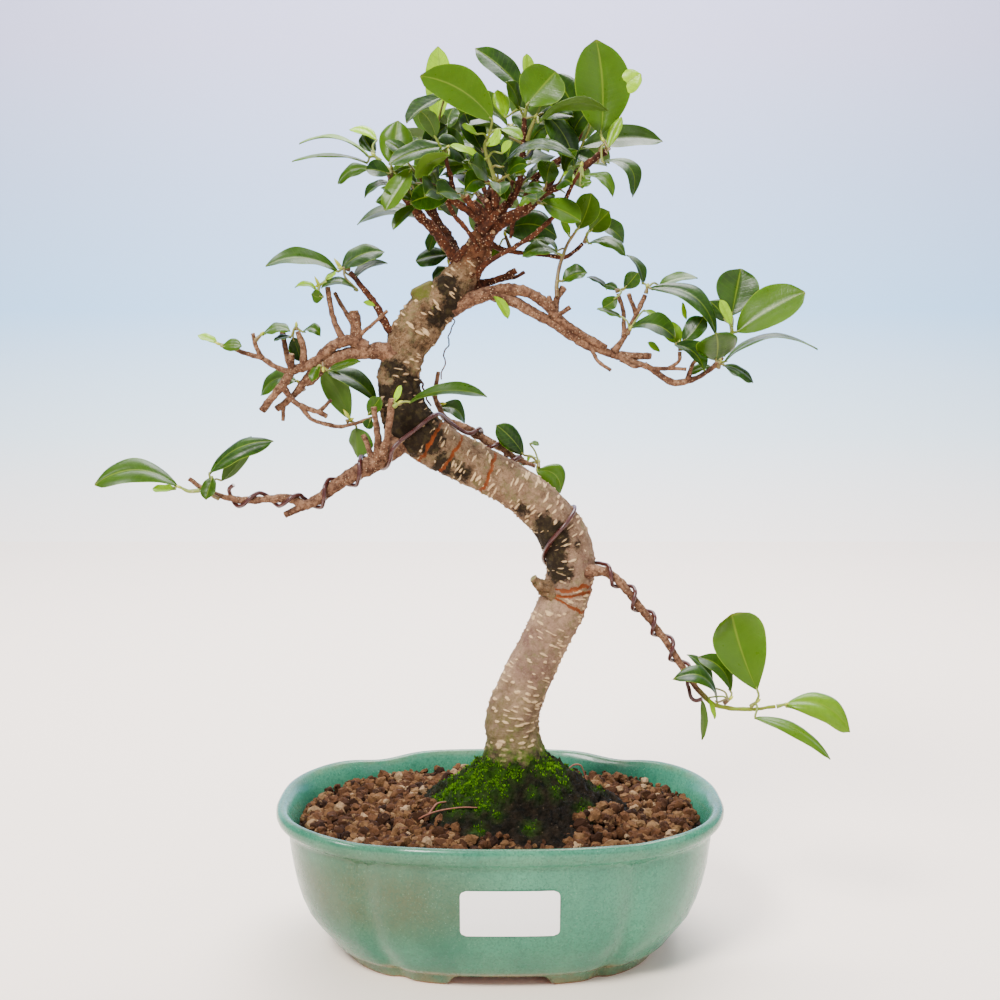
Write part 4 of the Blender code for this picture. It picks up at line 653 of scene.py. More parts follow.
limbs = {
    "branch_left_upper": paths("""
        -54 322 -4 6, -62 327 -8 4.7, -70 327 -9 3.9, -80 326 -10 3.5, -90 323 -10 3.3, -97 318 -9 2.9,
        -104 312 -8 2.4, -109 306 -7 2, -115 300 -6 1.8, -120.5 296 -6 1.7;
        -72 329 -10 3.2, -80 333 -12 3, -87 331.5 -12 3, -93 327.5 -12 2.8, -98 322.5 -12 2.7,
        -105 319 -12 2.6, -112 316 -12 2.4, -117 309 -12 2.2, -123 302 -12 2, -128.5 295.5 -12 2;
        -77 331 -11 3.2, -77 340 -11 2.9, -78 348.5 -11 2.6;
        -84 333 -12 1.9, -88 341 -13 1.7, -90.5 350 -14 1.5, -92 361 -15 1.4;
        -78 341 -11 1.7, -84 350 -9 1.2, -88.5 358 -8 1;
        -76 335 -11 1.3, -66 343.5 -14 .9, -60.5 348.5 -16 1;
        -112 317 -12 1.8, -114.5 325 -9 1.5, -116.5 338 -7 1.4;
        -112 317 -12 1.8, -112 325.5 -16 1.7;
        -106 319 -12 1.9, -105.5 329 -13 1.7, -108.5 337.5 -14 1.5;
        -112 316 -12 1.8, -120 318.5 -11 1.5, -128 323.5 -10 1.4, -137 326 -8 1.2, -143 328.5 -7 1;
        -128 323.5 -10 1.4, -131 330 -12 1.2, -132.5 336.5 -13 1.1;
        -117 309 -12 1.8, -112 301 -12 1.6, -105 297 -12 1.5, -98 294.5 -12 1.4, -93.5 292.5 -13 1.4;
        -98 294.5 -12 1.2, -94 298 -10 1, -91 301 -9 .9;
        -108 298.5 -12 1.3, -102 291 -11 1.2, -94 288 -9 1.1, -86 286.8 -7 1.1, -78 288.5 -5 1,
        -69.5 291.3 -3 1;
        -117 299 -6 1.2, -117 290 -6 1;
        -97 317 -9 2.2, -101 311.5 -7 1.9, -104 309.5 -5 1.6"""),
    "branch_left_lower": paths("""
        -47 284 0 6.5, -58 275 -8 5.8, -67 268 -14 5, -77 262 -18 4.2, -86 257 -18 3.6, -93 251.5 -18 3.1,
        -100 246.5 -18 2.9, -106.5 244 -18 2.7, -113 247 -18 2.4, -121 247.5 -18 2.2, -130 247 -18 2,
        -140 246.5 -18 1.8, -147 248 -18 1.6, -155 250.5 -17 1.3, -162 253.5 -16 1.3, -168.5 258.3 -16 1.2;
        -106 244 -18 2.1, -112 241 -18 1.8, -117 238.8 -18 1.8;
        -63 271 -18 3, -61 281 -24 2, -59.5 291 -25 1.8, -58 301.5 -25 1.7;
        -66 269 -17 2.8, -66 280 -20 1.9, -67 289 -20 1.7, -68 297 -20 1.5;
        -69 267 -17 2, -71.5 276 -15 1.4, -74 282 -14 1.4"""),
    "branch_back": paths("""
        -33 277 5 5, -28 287 15 2.9, -20 286 18 2.6, -12 282 20 2.4, -5 278 21 2.2, 2 274 22 1.9,
        8 270 22 1.6, 14 267 22 1.3, 19 265 22 1.2;
        -24 286.5 16 2.4, -30 292 20 1.7, -35 303 17 1.3, -33 316 15 1.1"""),
    "branch_right": paths("""
        -26 352 -1 5.4, -14 355.5 -5 3.9, -4 358.5 -7 3.4, 5 360 -8 3.1, 13 359 -9 2.9, 20 355.5 -9 2.8,
        26 351 -9 2.6, 30 346 -9 2.6, 36 341 -9 2.3, 43 336.5 -9 2.1, 50 332.5 -9 2, 57 329 -9 1.9;
        -4 357.5 -7 3, 5 354.5 -7 3, 12 351 -7 3, 20 346.5 -7 2.9, 28 342.5 -7 2.8, 36 337 -7 2.7,
        43 332.5 -7 2.6, 50 329 -7 2.4, 60 326 -7 2.2, 70 324.6 -7 2, 81 324.6 -7 1.8;
        28 347 -10 1.9, 26 356.5 -13 1.2;
        29 347 -9 2.2, 30.5 355 -8 1.7, 34 361 -7 1.9;
        29 346 -10 1.8, 33 347.5 -12 1.4, 37.5 350.5 -13 1.3;
        49 329 -8 1.3, 52 322.5 -11 1, 59.5 316.8 -12 1;
        60 325.5 -8 1.7, 70 322 -9 1.6, 80 318.5 -9 1.6, 88 313 -9 1.7, 94 310 -9 1.7, 101 311.2 -9 1.5,
        108 314 -10 1.4, 115 319 -10 1.3, 119 324 -10 1.3;
        65 323 -9 1.2, 72 319 -12 .9, 79 320.5 -13 .9;
        82 317.5 -9 1.3, 91 318 -13 1, 100 317.5 -14 1;
        91 318 -13 1.1, 96 322 -14 1, 96.5 326.5 -14 1.1;
        101 311.5 -9 1.4, 103 319 -12 1.1, 107.5 325.5 -13 1.1;
        61 327 -8 2, 65.5 333 -8 1.5, 70 341 -8 1.4, 74 349 -8 1.3, 77.5 357 -8 1.2;
        66.5 335 -8 1.4, 66 348 -5 1.1, 63 357.5 -4 1;
        73 347 -8 1.3, 68.5 357.5 -11 1.2"""),
    "branch_right_lowest": paths("""
        40 206 1 5.4, 50 207.5 -4 3.4, 57 207.5 -6 2.6, 63 204 -7 2.3, 68.5 198.5 -8 2.2, 75 190 -9 2.1,
        82 181 -10 2, 88.5 172.5 -10 2, 95 163 -10 1.9, 100 155 -10 1.9, 105 147.5 -10 1.7,
        111 139.5 -10 1.5, 118 133.5 -10 1.3, 125 131.5 -9 1.2, 135 130.5 -8 1.1, 145 131 -7 1, 152 132 -6 1"""),
    "crown_left": paths("""
        -17 366 -1 5, -22.5 374.5 -3 3.2, -28 382 -5 2.9, -35 391 -8 2.6, -42 398 -11 2.4,
        -47.5 404.5 -13 2.2, -51 413 -15 1.9;
        -47.5 404.5 -13 1.6, -53 411 -12 1.3, -57 417 -12 1.2;
        -53 411 -12 1.2, -58 418 -6 1.1, -63 426 -2 1;
        -22.5 374.5 -3 3.2, -24.5 381 6 2.9, -29 389 13 2.7, -34 397 18 2.4, -41 407 22 2.2;
        -34 397 18 1.8, -36 410 24 1.4, -36 424 28 1.2"""),
    "crown_front": paths("""
        -6 393 -1 3.4, -15 400 -9 2.1, -24 406 -13 1.9, -30.5 410.5 -15 1.8, -37 414.5 -17 1.7,
        -44 420.5 -19 1.5;
        -12 378 -3 2.6, -14 386 -8 1.3, -20 394 -11 1.3, -25 400 -13 1.2, -30 410 -15 1.2;
        -7 395 -5 2.2, -13 402 -12 1.9, -18.5 408.5 -15 1.9;
        -24 406 -13 1.5, -26 418 -20 1.3, -29 430 -24 1.1"""),
    "crown_right": paths("""
        -6 392 -1 4.2, 3 396.5 -4 3, 10 400 -6 2.7, 17 404.5 -8 2.5, 23 410 -9 2.3, 30 413.5 -10 2,
        36 417 -11 1.9, 44 423.5 -12 1.8, 51 429 -13 1.6, 56 432 -14 1.6;
        23 410 -9 1.7, 29 418.5 -8 1.2;
        10 400 -6 2.1, 15 411 -2 1.6, 21 420 2 1.5, 28 426 4 1.4, 34.5 430.5 5 1.3, 40 436 6 1.2,
        44 445 7 1.1;
        7 398.5 -5 1.6, 6.2 390 -9 1.1, 5.5 387 -10 .9"""),
}


trunk = {
    "around": 150, "step": 0.6, "lenticels": 1050, "seed": 11,
    # (x, z, how far it slants): rings that an older wire has bitten into the bark
    "scars": ((-38, 278, 0.10), (-27.5, 271.5, -0.12), (-6.5, 261.5, 0.10), (36.5, 197.5, 0.30),
              (34.5, 191, -0.16), (36, 193.5, 0.42)),
    # (x, z, reach, strength): where soot and lichen darken the bark, and where painted shade darkens the trunk's
    # undersides and left edges
    "soot": ((-48, 293, 13, 1.0), (-50, 305, 9, 0.9), (-40, 281, 9, 0.9), (-56, 285, 8, 0.8),
             (-30, 266, 7, 0.6),
             (-20, 262, 6, 0.5), (-56, 318, 8, 0.5), (-33, 345, 7, 0.5), (-25, 352, 8, 0.55),
             (-46, 330, 6, 0.2), (-28, 362, 6, 0.75), (-62, 305, 5, 0.7), (29, 226, 9, 1.0),
             (27, 216, 9, 0.9),
             (33, 207, 7, 0.7), (24, 234, 6, 0.6), (42, 222, 6, 0.3), (12, 241, 5, 0.5), (20, 198, 6, 0.8),
             (-46, 276, 6, 0.7)),
    # (x, z, depth, reach, how proud): swollen knots
    "burls": ((-45, 281, -16, 8, 1.5), (-58, 300, -4, 8, 0.9), (40, 206, -2, 7, 1.2), (-28, 259, -10, 5, 1.0),
              (-14, 268, 10, 7, 1.0), (26, 228, -10, 6, 0.9), (-50, 322, -6, 7, 1.3), (-26, 356, -6, 7, 1.0),
              (20, 96, -14, 9, 1.6), (-6, 98, -12, 8, 1.4), (8, 92, 18, 10, 1.2), (-20, 372, 0, 5, 0.9)),
    "pale": (0.36, 0.235, 0.145), "mauve": (0.165, 0.092, 0.070), "tan": (0.265, 0.165, 0.085),
    "cream": (0.66, 0.46, 0.25), "sootAndShadeColour": (0.010, 0.0065, 0.0035), "rust": (0.185, 0.036, 0.006),
    "green": (0.085, 0.092, 0.014),
}


def barkMaterial():
    look = Look("trunkBark", Roughness=0.88, Specular_IOR_Level=0.12)
    broad = look.noisy(55, 5, 0.62, distortion=0.4)
    look.base = look.mix(look.ramp(broad, (0.34, 0), (0.64, 1)), trunk["mauve"], trunk["pale"])
    look.coat(look.ramp(look.painted("rise"), (0.38, 0), (0.72, 1)),
              look.mix(look.patches(120, 6, 0.7, (0.35, 0), (0.65, 1)), trunk["tan"], (0.115, 0.062, 0.030)))
    look.coat(look.patches(420, 5, 0.7, (0.38, 0.55), (0.56, 0)), (0.085, 0.052, 0.032))
    look.coat(look.patches(950, 3, 0.7, (0.56, 0), (0.72, 0.6)), (0.42, 0.30, 0.18))
    flecks = look.times(look.ramp(look.painted("rise"), (0.35, 0.15), (0.75, 1)),
                        look.patches(250, 7, 0.8, (0.47, 0), (0.60, 0.9)))
    look.coat(flecks, (0.036, 0.020, 0.009))
    lichen = look.times(look.patches(95, 5, 0.7, (0.50, 0), (0.64, 0.7)),
                        look.patches(500, 3, 0.55, (0.4, 0.2), (0.6, 1)))
    look.coat(lichen, (0.135, 0.125, 0.050))
    dots = look.ramp(look.cells(560), (0.15, 0.9), (0.25, 0))
    reddish = look.mix(look.patches(200, 6, 0.7, (0.36, 0), (0.62, 1)), (0.050, 0.017, 0.008),
                       (0.17, 0.072, 0.034))
    reddish = look.mix(dots, reddish, (0.50, 0.34, 0.20))
    topness = look.plus(look.painted("top"), look.times(look.maths("SUBTRACT", look.noisy(120, 5, 0.7),
                                                                   0.5), 1.2))
    look.coat(look.ramp(topness, (0.2, 0), (0.75, 1)), reddish)
    foot = look.times(look.painted("foot"), look.patches(160, 6, 0.7, (0.34, 0.1), (0.6, 1)))
    look.coat(foot, trunk["green"])
    # near-black patches: partly soot and lichen, partly painted shade on the trunk's undersides and left edges
    sootAndShadeBlot = look.ramp(look.plus(look.painted("soot"), look.times(look.noisy(210, 7, 0.75), 1.25)), (0.84, 0),
                     (1.10, 0.96))
    look.coat(sootAndShadeBlot, look.mix(look.patches(300, 3, 0.55, (0.5, 0), (0.7, 0.7)), trunk["sootAndShadeColour"],
                             (0.045, 0.034, 0.012)))
    look.coat(look.ramp(look.painted("lenticel"), (0.25, 0), (0.6, 0.88)),
              look.mix(look.patches(700, 3, 0.55, (0.4, 0), (0.7, 0.6)), trunk["cream"],
                       (0.40, 0.235, 0.115)))
    damp = look.times(look.painted("damp"), look.patches(240, 6, 0.7, (0.30, 0.35), (0.52, 1)))
    look.coat(damp, look.mix(look.patches(170, 5, 0.7, (0.42, 0), (0.60, 1)), (0.020, 0.016, 0.008),
                             (0.040, 0.085, 0.003)))
    scarred = look.plus(look.painted("scar"),
                        look.times(look.maths("SUBTRACT", look.noisy(480, 4, 0.7), 0.5), 1.7))
    look.coat(look.ramp(scarred, (0.32, 0), (0.72, 0.95)),
              look.mix(look.patches(350, 4, 0.55, (0.4, 0), (0.65, 1)), trunk["rust"], (0.16, 0.045, 0.015)))
    look.coat(look.painted("cut"), look.mix(look.patches(260, 5, 0.7, (0.4, 0), (0.6, 0.8)),
                                            (0.44, 0.31, 0.18), (0.10, 0.12, 0.03)))
    across = look.noisy(1.0, 4, 0.6, stretch=(260, 260, 900))
    height = look.plus(look.times(look.noisy(380, 7, 0.75), 1.0), look.times(across, 0.7))
    height = look.plus(height, look.times(sootAndShadeBlot, 0.6))
    return look.finished(Normal=look.bumped(height, 1.0, 0.0009))


def twigMaterial(name, dark, light, speck, speckShare):
    look = Look(name, Roughness=0.82, Specular_IOR_Level=0.16)
    look.base = look.mix(look.patches(130, 6, 0.65, (0.34, 0), (0.66, 1)), dark, light)
    look.coat(look.patches(520, 5, 0.7, (0.40, 0.6), (0.55, 0)), tuple(c * 0.35 for c in dark))
    dots = look.times(look.ramp(look.cells(640), (0.16, 1), (0.26, 0)),
                      look.patches(70, 3, 0.55, (0.38, 0.25), (0.56, 1)))
    look.coat(look.times(dots, speckShare), speck)
    look.coat(look.ramp(look.painted("node"), (0.3, 0), (0.9, 0.28)), tuple(c * 0.45 for c in dark))
    look.coat(look.painted("fresh"), look.mix(look.patches(400, 4, 0.55, (0.4, 0), (0.7, 0.6)),
                                              (0.16, 0.23, 0.018), (0.20, 0.13, 0.04)))
    look.coat(look.painted("cut"), look.mix(look.patches(500, 4, 0.55, (0.4, 0), (0.6, 1)),
                                            (0.42, 0.26, 0.13), (0.20, 0.095, 0.045)))
    height = look.plus(look.noisy(620, 6, 0.7), look.times(dots, 0.9))
    return look.finished(Normal=look.bumped(height, 0.7, 0.0005))


def axisOf(path):
    # the path in its own space, as rows of x, y, z, radius
    return np.array([(*place(x, z, depth), radius) for x, z, depth, radius in path])


def makeTrunkBody():
    rows = splined(axisOf(trunkPath), trunk["step"])
    centres, radii = rows[:, :3], rows[:, 3]
    count, around = len(rows), trunk["around"]
    flat, out, turns = tube(centres, radii, around)
    along = lengthsAlong(centres)
    high = centres[:, 2]
    footness = np.clip((128 - high) / 26, 0, 1)
    upper = np.clip((high - 265) / 60, 0, 1)
    lump = roughness3(flat, 19.0, 3, 1.0).reshape(count, around)
    crumb = roughness3(flat, 4.2, 4, 2.0).reshape(count, around)
    ringed = np.stack((np.repeat(along, around) * 0.9, np.tile(np.cos(turns), count) * 3,
                       np.tile(np.sin(turns), count) * 3), axis=1)
    ripple = roughness3(ringed, 1.6, 2, 4.0).reshape(count, around)
    # dark spots from the list: partly real soot and lichen, partly painted shade on the undersides and left
    # edges; strongest on the side toward the front
    soot = np.zeros(len(flat))
    for x, z, reach, strength in trunk["soot"]:
        spot = place(x, z, -8)
        far = (flat[:, 0] - spot[0]) ** 2 + (flat[:, 2] - spot[2]) ** 2
        soot = np.maximum(soot, strength * np.exp(-far / reach ** 2))
    soot = soot.reshape(count, around) * np.clip(0.8 - 0.6 * out[:, :, 1], 0.25, 1)
    more = upper[:, None] + 0.5 * footness[:, None]
    push = lump * (0.6 + more) + crumb * (0.34 + more) + ripple * 0.14
    push += crumb * soot * 0.35
    # raised pale lenticels, longer across the trunk than along it
    lenticel = np.zeros((count, around))
    luck = random.Random(trunk["seed"])
    step = along[-1] / (count - 1)
    for _ in range(trunk["lenticels"]):
        spot, turn = luck.uniform(24, along[-1] - 12), luck.uniform(0, 2 * math.pi)
        row = int(spot / step)
        if luck.random() > 1.0 - 0.62 * upper[row]:
            continue
        halfLong = luck.uniform(1.0, 3.0) * luck.uniform(0.85, 1.3)
        halfHigh = luck.uniform(0.42, 0.74) * (1 + 0.5 * footness[row])
        lean = luck.uniform(-0.18, 0.18)
        r0, r1 = max(row - 5, 0), min(row + 6, count)
        s = (along[r0:r1] - spot)[:, None]
        w = (np.angle(np.exp(1j * (turns - turn))) * radii[row])[None, :]
        shape = np.clip(1.25 - ((w / halfLong) ** 2 + ((s - lean * w) / halfHigh) ** 2), 0, 1)
        lenticel[r0:r1] = np.maximum(lenticel[r0:r1], shape)
    lenticel *= 1 - 0.75 * np.clip(soot * 1.3 - 0.2, 0, 1)
    push += lenticel * 0.62 - np.clip(0.22 - np.abs(lenticel - 0.12), 0, 1) * 0.3
    # old wire marks: a groove between two swollen lips
    scar = np.zeros((count, around))
    for x, z, slant in trunk["scars"]:
        row = int(np.argmin((centres[:, 0] - x) ** 2 + (centres[:, 2] - z) ** 2))
        wave = slant * radii[row] * np.sin(turns + 0.5)[None, :] + 0.5 * np.sin(3 * turns + x)[None, :]
        off = along[:, None] - along[row] - wave + crumb * 1.1
        front = np.clip(0.55 + 0.6 * np.cos(turns)[None, :], 0, 1)
        scar = np.maximum(scar, np.exp(-(off / 1.15) ** 2) * front)
        push += (np.exp(-((np.abs(off) - 1.9) / 0.9) ** 2) * 0.28 - np.exp(-(off / 0.85) ** 2) * 0.60) * front
    # swollen burls where limbs leave and where the trunk bends hardest
    for x, z, depth, reach, rise in trunk["burls"]:
        spot = place(x, z, depth)
        far = ((flat - spot) ** 2).sum(1).reshape(count, around)
        push += rise * np.exp(-far / reach ** 2)
    spread = np.clip((112 - high) / 34, 0, 1)[:, None] ** 1.6
    push += spread * (1.4 * np.clip(np.sin(turns * 3 + 0.9), -0.2, 1)[None, :] + 0.2)
    flat = flat + (out * push[:, :, None]).reshape(-1, 3)
    rise = np.clip((high - 66) / 330, 0, 1)
    columns = {"lenticel": lenticel.ravel(), "soot": soot.ravel(), "scar": scar.ravel(),
               "rise": np.repeat(rise, around),
               "foot": np.repeat(np.clip((150 - high) / 45, 0, 1), around) * 0.9,
               "top": np.repeat(np.clip((high - 362) / 20, 0, 1), around), "cut": 0.0,
               "damp": np.clip((118 - flat[:, 2] + 5 * crumb.ravel()) / 11, 0, 1)}
    return flat, ringFaces(count, around), columns, 0


def limbShape(path, seed, around, step, number, knots, rough, mossy=0.0, wander=0.3, reddish=1.0,
              freshFrom=None):
    # One limb as a lumpy tube with leaf-scar rings along it and a pale cut end
    rows = splined(axisOf(path), step)
    centres, radii = rows[:, :3].copy(), np.maximum(rows[:, 3], 0.35)
    count = len(rows)
    along = lengthsAlong(centres)
    for axis in range(3):
        drift = roughness3(np.stack((along, along * 0, along * 0), axis=1), 7.0, 2, seed + 11 * axis)
        centres[:, axis] += drift * wander * np.minimum(along / 6, 1)
    luck = random.Random(seed)
    node = np.zeros(count)
    spot = luck.uniform(2, knots)
    while spot < along[-1]:
        node = np.maximum(node, np.exp(-((along - spot) / 0.9) ** 2))
        spot += luck.uniform(0.6, 1.4) * knots
    swell = 1 + 0.045 * node + 0.30 * np.exp(-along / (radii[0] * 1.1))
    flat, out, _ = tube(centres, radii * swell, around)
    share = np.repeat(np.minimum(radii * 0.16, 0.42), around) * rough
    push = (1.3 * roughness3(flat, 2.6, 4, seed) + 0.9 * roughness3(flat, 8.0, 2, seed + 3)) * share
    flat = flat + out.reshape(-1, 3) * push[:, None]
    end = centres[-1]
    rim = flat[-around:]
    inner = end + (rim - end) * 0.82
    tip = unit(centres[-1] - centres[-2])
    flat = np.vstack((flat, inner + tip * 0.18 * radii[-1],
                      (end + (rim - end) * 0.3) + tip * (0.1 * radii[-1])))
    cut = np.zeros(len(flat))
    cut[-2 * around:] = 1.0 - 0.75 * mossy
    columns = {"node": np.append(np.repeat(node, around), np.zeros(2 * around)), "cut": cut,
               "lenticel": 0.0, "soot": 0.0, "scar": 0.0, "rise": 0.8, "foot": mossy, "top": reddish}
    if freshFrom:
        columns["fresh"] = np.clip((flat[:, 0] - freshFrom) / 9, 0, 1)
    return flat, ringFaces(count + 2, around), columns, number


# (dark, light, speck, how many specks)
twigLooks = {
    "limb": ((0.075, 0.030, 0.016), (0.255, 0.135, 0.075), (0.52, 0.35, 0.20), 0.6),
    "crown": ((0.032, 0.009, 0.004), (0.125, 0.038, 0.015), (0.60, 0.40, 0.24), 1.0),
}
knobs = {"count": 13, "seed": 77, "radius": (1.9, 3.0), "long": (5, 12)}


def makeWood():
    limbBark = twigMaterial("limbBark", *twigLooks["limb"])
    crownBark = twigMaterial("crownBark", *twigLooks["crown"])
    shapes = [makeTrunkBody()]
    for k, path in enumerate(trunkTwigs):
        if k < 2:  # old stumps, the first with a mossy top
            shapes.append(limbShape(path, 40 + k, 22 if k else 44, 0.7, 0, 6.0, 2.2, float(k == 0), 0.3, 0.0))
        elif k > 6:  # hair roots
            thin = [(x, z, depth, radius * 0.62) for x, z, depth, radius in path]
            shapes.append(limbShape(thin, 40 + k, 22, 0.7, 2, 6.0, 1.0, 0.0, 3.0))
        else:
            shapes.append(limbShape(path, 40 + k, 22, 0.7, 2, 6.0, 1.0))
    for k, path in enumerate(leaderTwigs):
        shapes.append(limbShape(path, 60 + k, 20, 0.8, 2, 5.0, 1.3))
    # knobs and stubs of the old crown, where it has been cut back again and again
    luck = random.Random(knobs["seed"])
    for k in range(knobs["count"]):
        t = luck.random()
        x, z = -20 + 20 * t + luck.uniform(-5, 6), 368 + 34 * t + luck.uniform(-6, 8)
        depth, radius = luck.uniform(-7, 6), luck.uniform(*knobs["radius"])
        reach = luck.uniform(*knobs["long"])
        lean = luck.uniform(-1.0, 1.0)
        route = ((x, z, depth, radius), (x + lean * reach * 0.5, z + reach * 0.55, depth * 1.4,
                                         radius * 0.8),
                                         (x + lean * reach, z + reach, depth * 1.9, radius * 0.5))
        shapes.append(limbShape(route, 300 + k, 16, 0.9, 2, 4.0, 1.7))
    piece("trunkWood", shapes, [barkMaterial(), limbBark, crownBark], ("trunk",), sharp=180)
    for name, bunch in limbs.items():
        crown = name.startswith("crown")
        fresh = 107.0 if name == "branch_right_lowest" else None
        shapes = [limbShape(path, 500 + 20 * k + len(name), 18 if k else 26, 0.8, int(crown),
                            5.0 if crown else 6.5, 1.3 if crown else 1.0, freshFrom=fresh) for k,
                            path in enumerate(bunch)]
        piece(pieceName(name) + "Wood", shapes, [limbBark, crownBark], (name,), sharp=180)


# Wires: wound on the wood a little off the bark, and laid over the trunk between two limbs
wire = {
    "radius": 1.1, "gap": 0.35, "perTurn": 12, "around": 14, "smoothings": 3,
    "colour": (0.040, 0.0060, 0.0045), "cutColour": (0.75, 0.74, 0.72),
}
leftCrossing = ((-63, 272, -24), (-59, 275, -24), (-54, 277.5, -24), (-49, 280.5, -22), (-45, 284.5, -20),
                 (-41, 289, -16), (-37.5, 293, -9), (-33.5, 293, -1), (-29, 291, 6), (-25.5, 289.5, 11))
rightCrossing = ((30, 235, 22), (34, 239, 18), (38, 243.5, 12), (40.5, 244.5, 6), (41.5, 241.5, -2),
                  (40, 238, -10), (36.5, 233, -14), (32.5, 229, -14), (28, 225, -12), (24.5, 220.5, -6),
                  (22.5, 215.5, 2), (23, 211, 10), (27, 208, 16), (33, 208, 20), (40, 210, 20), (46, 212, 16),
                  (50.5, 213, 10), (53, 212.8, 3))
leftCutEnd = ((-144.5, 255, -21), (-148, 253.8, -21), (-151, 251.5, -18))
rightHook = ((105.5, 142.5, -14), (104, 139.5, -14), (104.3, 136, -14), (107, 134, -14), (110, 134.8, -14),
              (111.5, 136.5, -14))


def nodeSkin(name):
    # a CAD node's points and faces in the tree's own layout, in millimetres
    mesh = bpy.data.objects[name].data
    matrix = bpy.data.objects[name].matrix_world
    verts = [tuple((np.array(matrix @ v.co) - potMiddle) / mm) for v in mesh.vertices]
    return verts, [tuple(p.vertices) for p in mesh.polygons]


def skinTree(name):
    return BVHTree.FromPolygons(*nodeSkin(name))


def lifted(point, trees, radius):
    # the point, moved off the wood until something round of this radius there leaves a gap
    clear = radius + 1.7 * wire["gap"]
    for tree in trees:
        near, normal, _, distance = tree.find_nearest(point)
        inside = distance < 3 and (point - near).dot(normal) < 0
        if inside or distance < clear:
            point = near + (normal if inside else (point - near).normalized()) * clear
    return point


def hugging(point, trees):
    near, normal, _, distance = min((tree.find_nearest(point) for tree in trees), key=lambda f: f[3])
    away = point - near
    outward = away.normalized() if away.dot(normal) > 0 and distance > 0.2 else normal
    return lifted(near + outward * (wire["radius"] + 2 * wire["gap"]), trees, wire["radius"])


def coil(path, start, stop, turns, phase, trees):
    # points of a wire wound on a path of wood, between two shares of its length
    rows = axisOf(path)
    along = lengthsAlong(rows[:, :3])
    count = max(int(abs(turns) * wire["perTurn"]), 2)
    made = []
    for i in range(count + 1):
        spot = (start + (stop - start) * i / count) * along[-1]
        k = max(j for j in range(len(along) - 1) if along[j] <= spot)
        part = (spot - along[k]) / (along[k + 1] - along[k])
        forward = unit(rows[min(k + 2, len(rows) - 1), :3] - rows[max(k - 1, 0), :3])
        front = np.array((0.0, -1.0, 0.0))
        front = unit(front - forward * front.dot(forward))
        side = np.cross(forward, front)
        reach = rows[k, 3] + (rows[k + 1, 3] - rows[k, 3]) * part + wire["radius"] + 1.5 * wire["gap"]
        turn = math.radians(phase) + 2 * math.pi * turns * i / count
        centre = rows[k, :3] + (rows[k + 1, :3] - rows[k, :3]) * part
        made.append(lifted(Vector(centre + (front * math.cos(turn) + side * math.sin(turn)) * reach), trees,
                           wire["radius"]))
    return made


def wireMaterial():
    look = Look("anodisedWire", Metallic=0.0, Roughness=0.26, Specular_IOR_Level=0.55)
    worn = look.patches(300, 5, 0.7, (0.45, 0), (0.75, 0.7))
    look.base = look.mix(worn, wire["colour"], (0.085, 0.018, 0.012))
    look.coat(look.painted("cut"), wire["cutColour"])
    return look.finished(Roughness=look.patches(420, 4, 0.6, (0.3, 0.22), (0.7, 0.42)))


def wireShape(route):
    rows = splined([tuple(p) + (wire["radius"],) for p in route], 0.9)
    centres, around = rows[:, :3], wire["around"]
    flat, _, _ = tube(centres, rows[:, 3], around)
    head, tail = centres[0], centres[-1]
    # each end narrows to a cut face
    inner0 = head + (flat[:around] - head) * 0.75 - unit(centres[1] - head) * 0.25
    inner1 = tail + (flat[-around:] - tail) * 0.75 + unit(tail - centres[-2]) * 0.25
    cut = np.concatenate((np.ones(around), np.zeros(len(flat)), np.ones(around)))
    return np.vstack((inner0, flat, inner1)), ringFaces(len(rows) + 2, around), {"cut": cut}, 0


def makeWires(trees):
    left, back, right = (limbs["branch_" + name][0] for name in ("left_lower", "back", "right_lowest"))
    routes = {"wire_left": ("leftWire", [Vector(place(*p)) for p in leftCutEnd]
                            + coil(left[:13], 0.985, 0.21, 4.1, 215, trees)
                            + [hugging(Vector(place(*p)), trees) for p in leftCrossing]
                            + coil(back, 0.38, 0.86, -2.3, 60, trees)),
                            "wire_right": ("rightWire",
                                           [hugging(Vector(place(*p)), trees) for p in rightCrossing]
                                           + coil(right[:12], 0.17, 0.93, 4.6, 250, trees)
                                           + [Vector(place(*p)) for p in rightHook]),}
    looks = wireMaterial()
    for node, (name, route) in routes.items():
        for _ in range(wire["smoothings"]):
            middle = [a * 0.25 + b * 0.5 + c * 0.25 for a, b, c in zip(route, route[1:], route[2:])]
            route = [lifted(p, trees, wire["radius"]) for p in [route[0]] + middle + [route[-1]]]
        piece(name, [wireShape(route)], [looks], (node,), sharp=40)


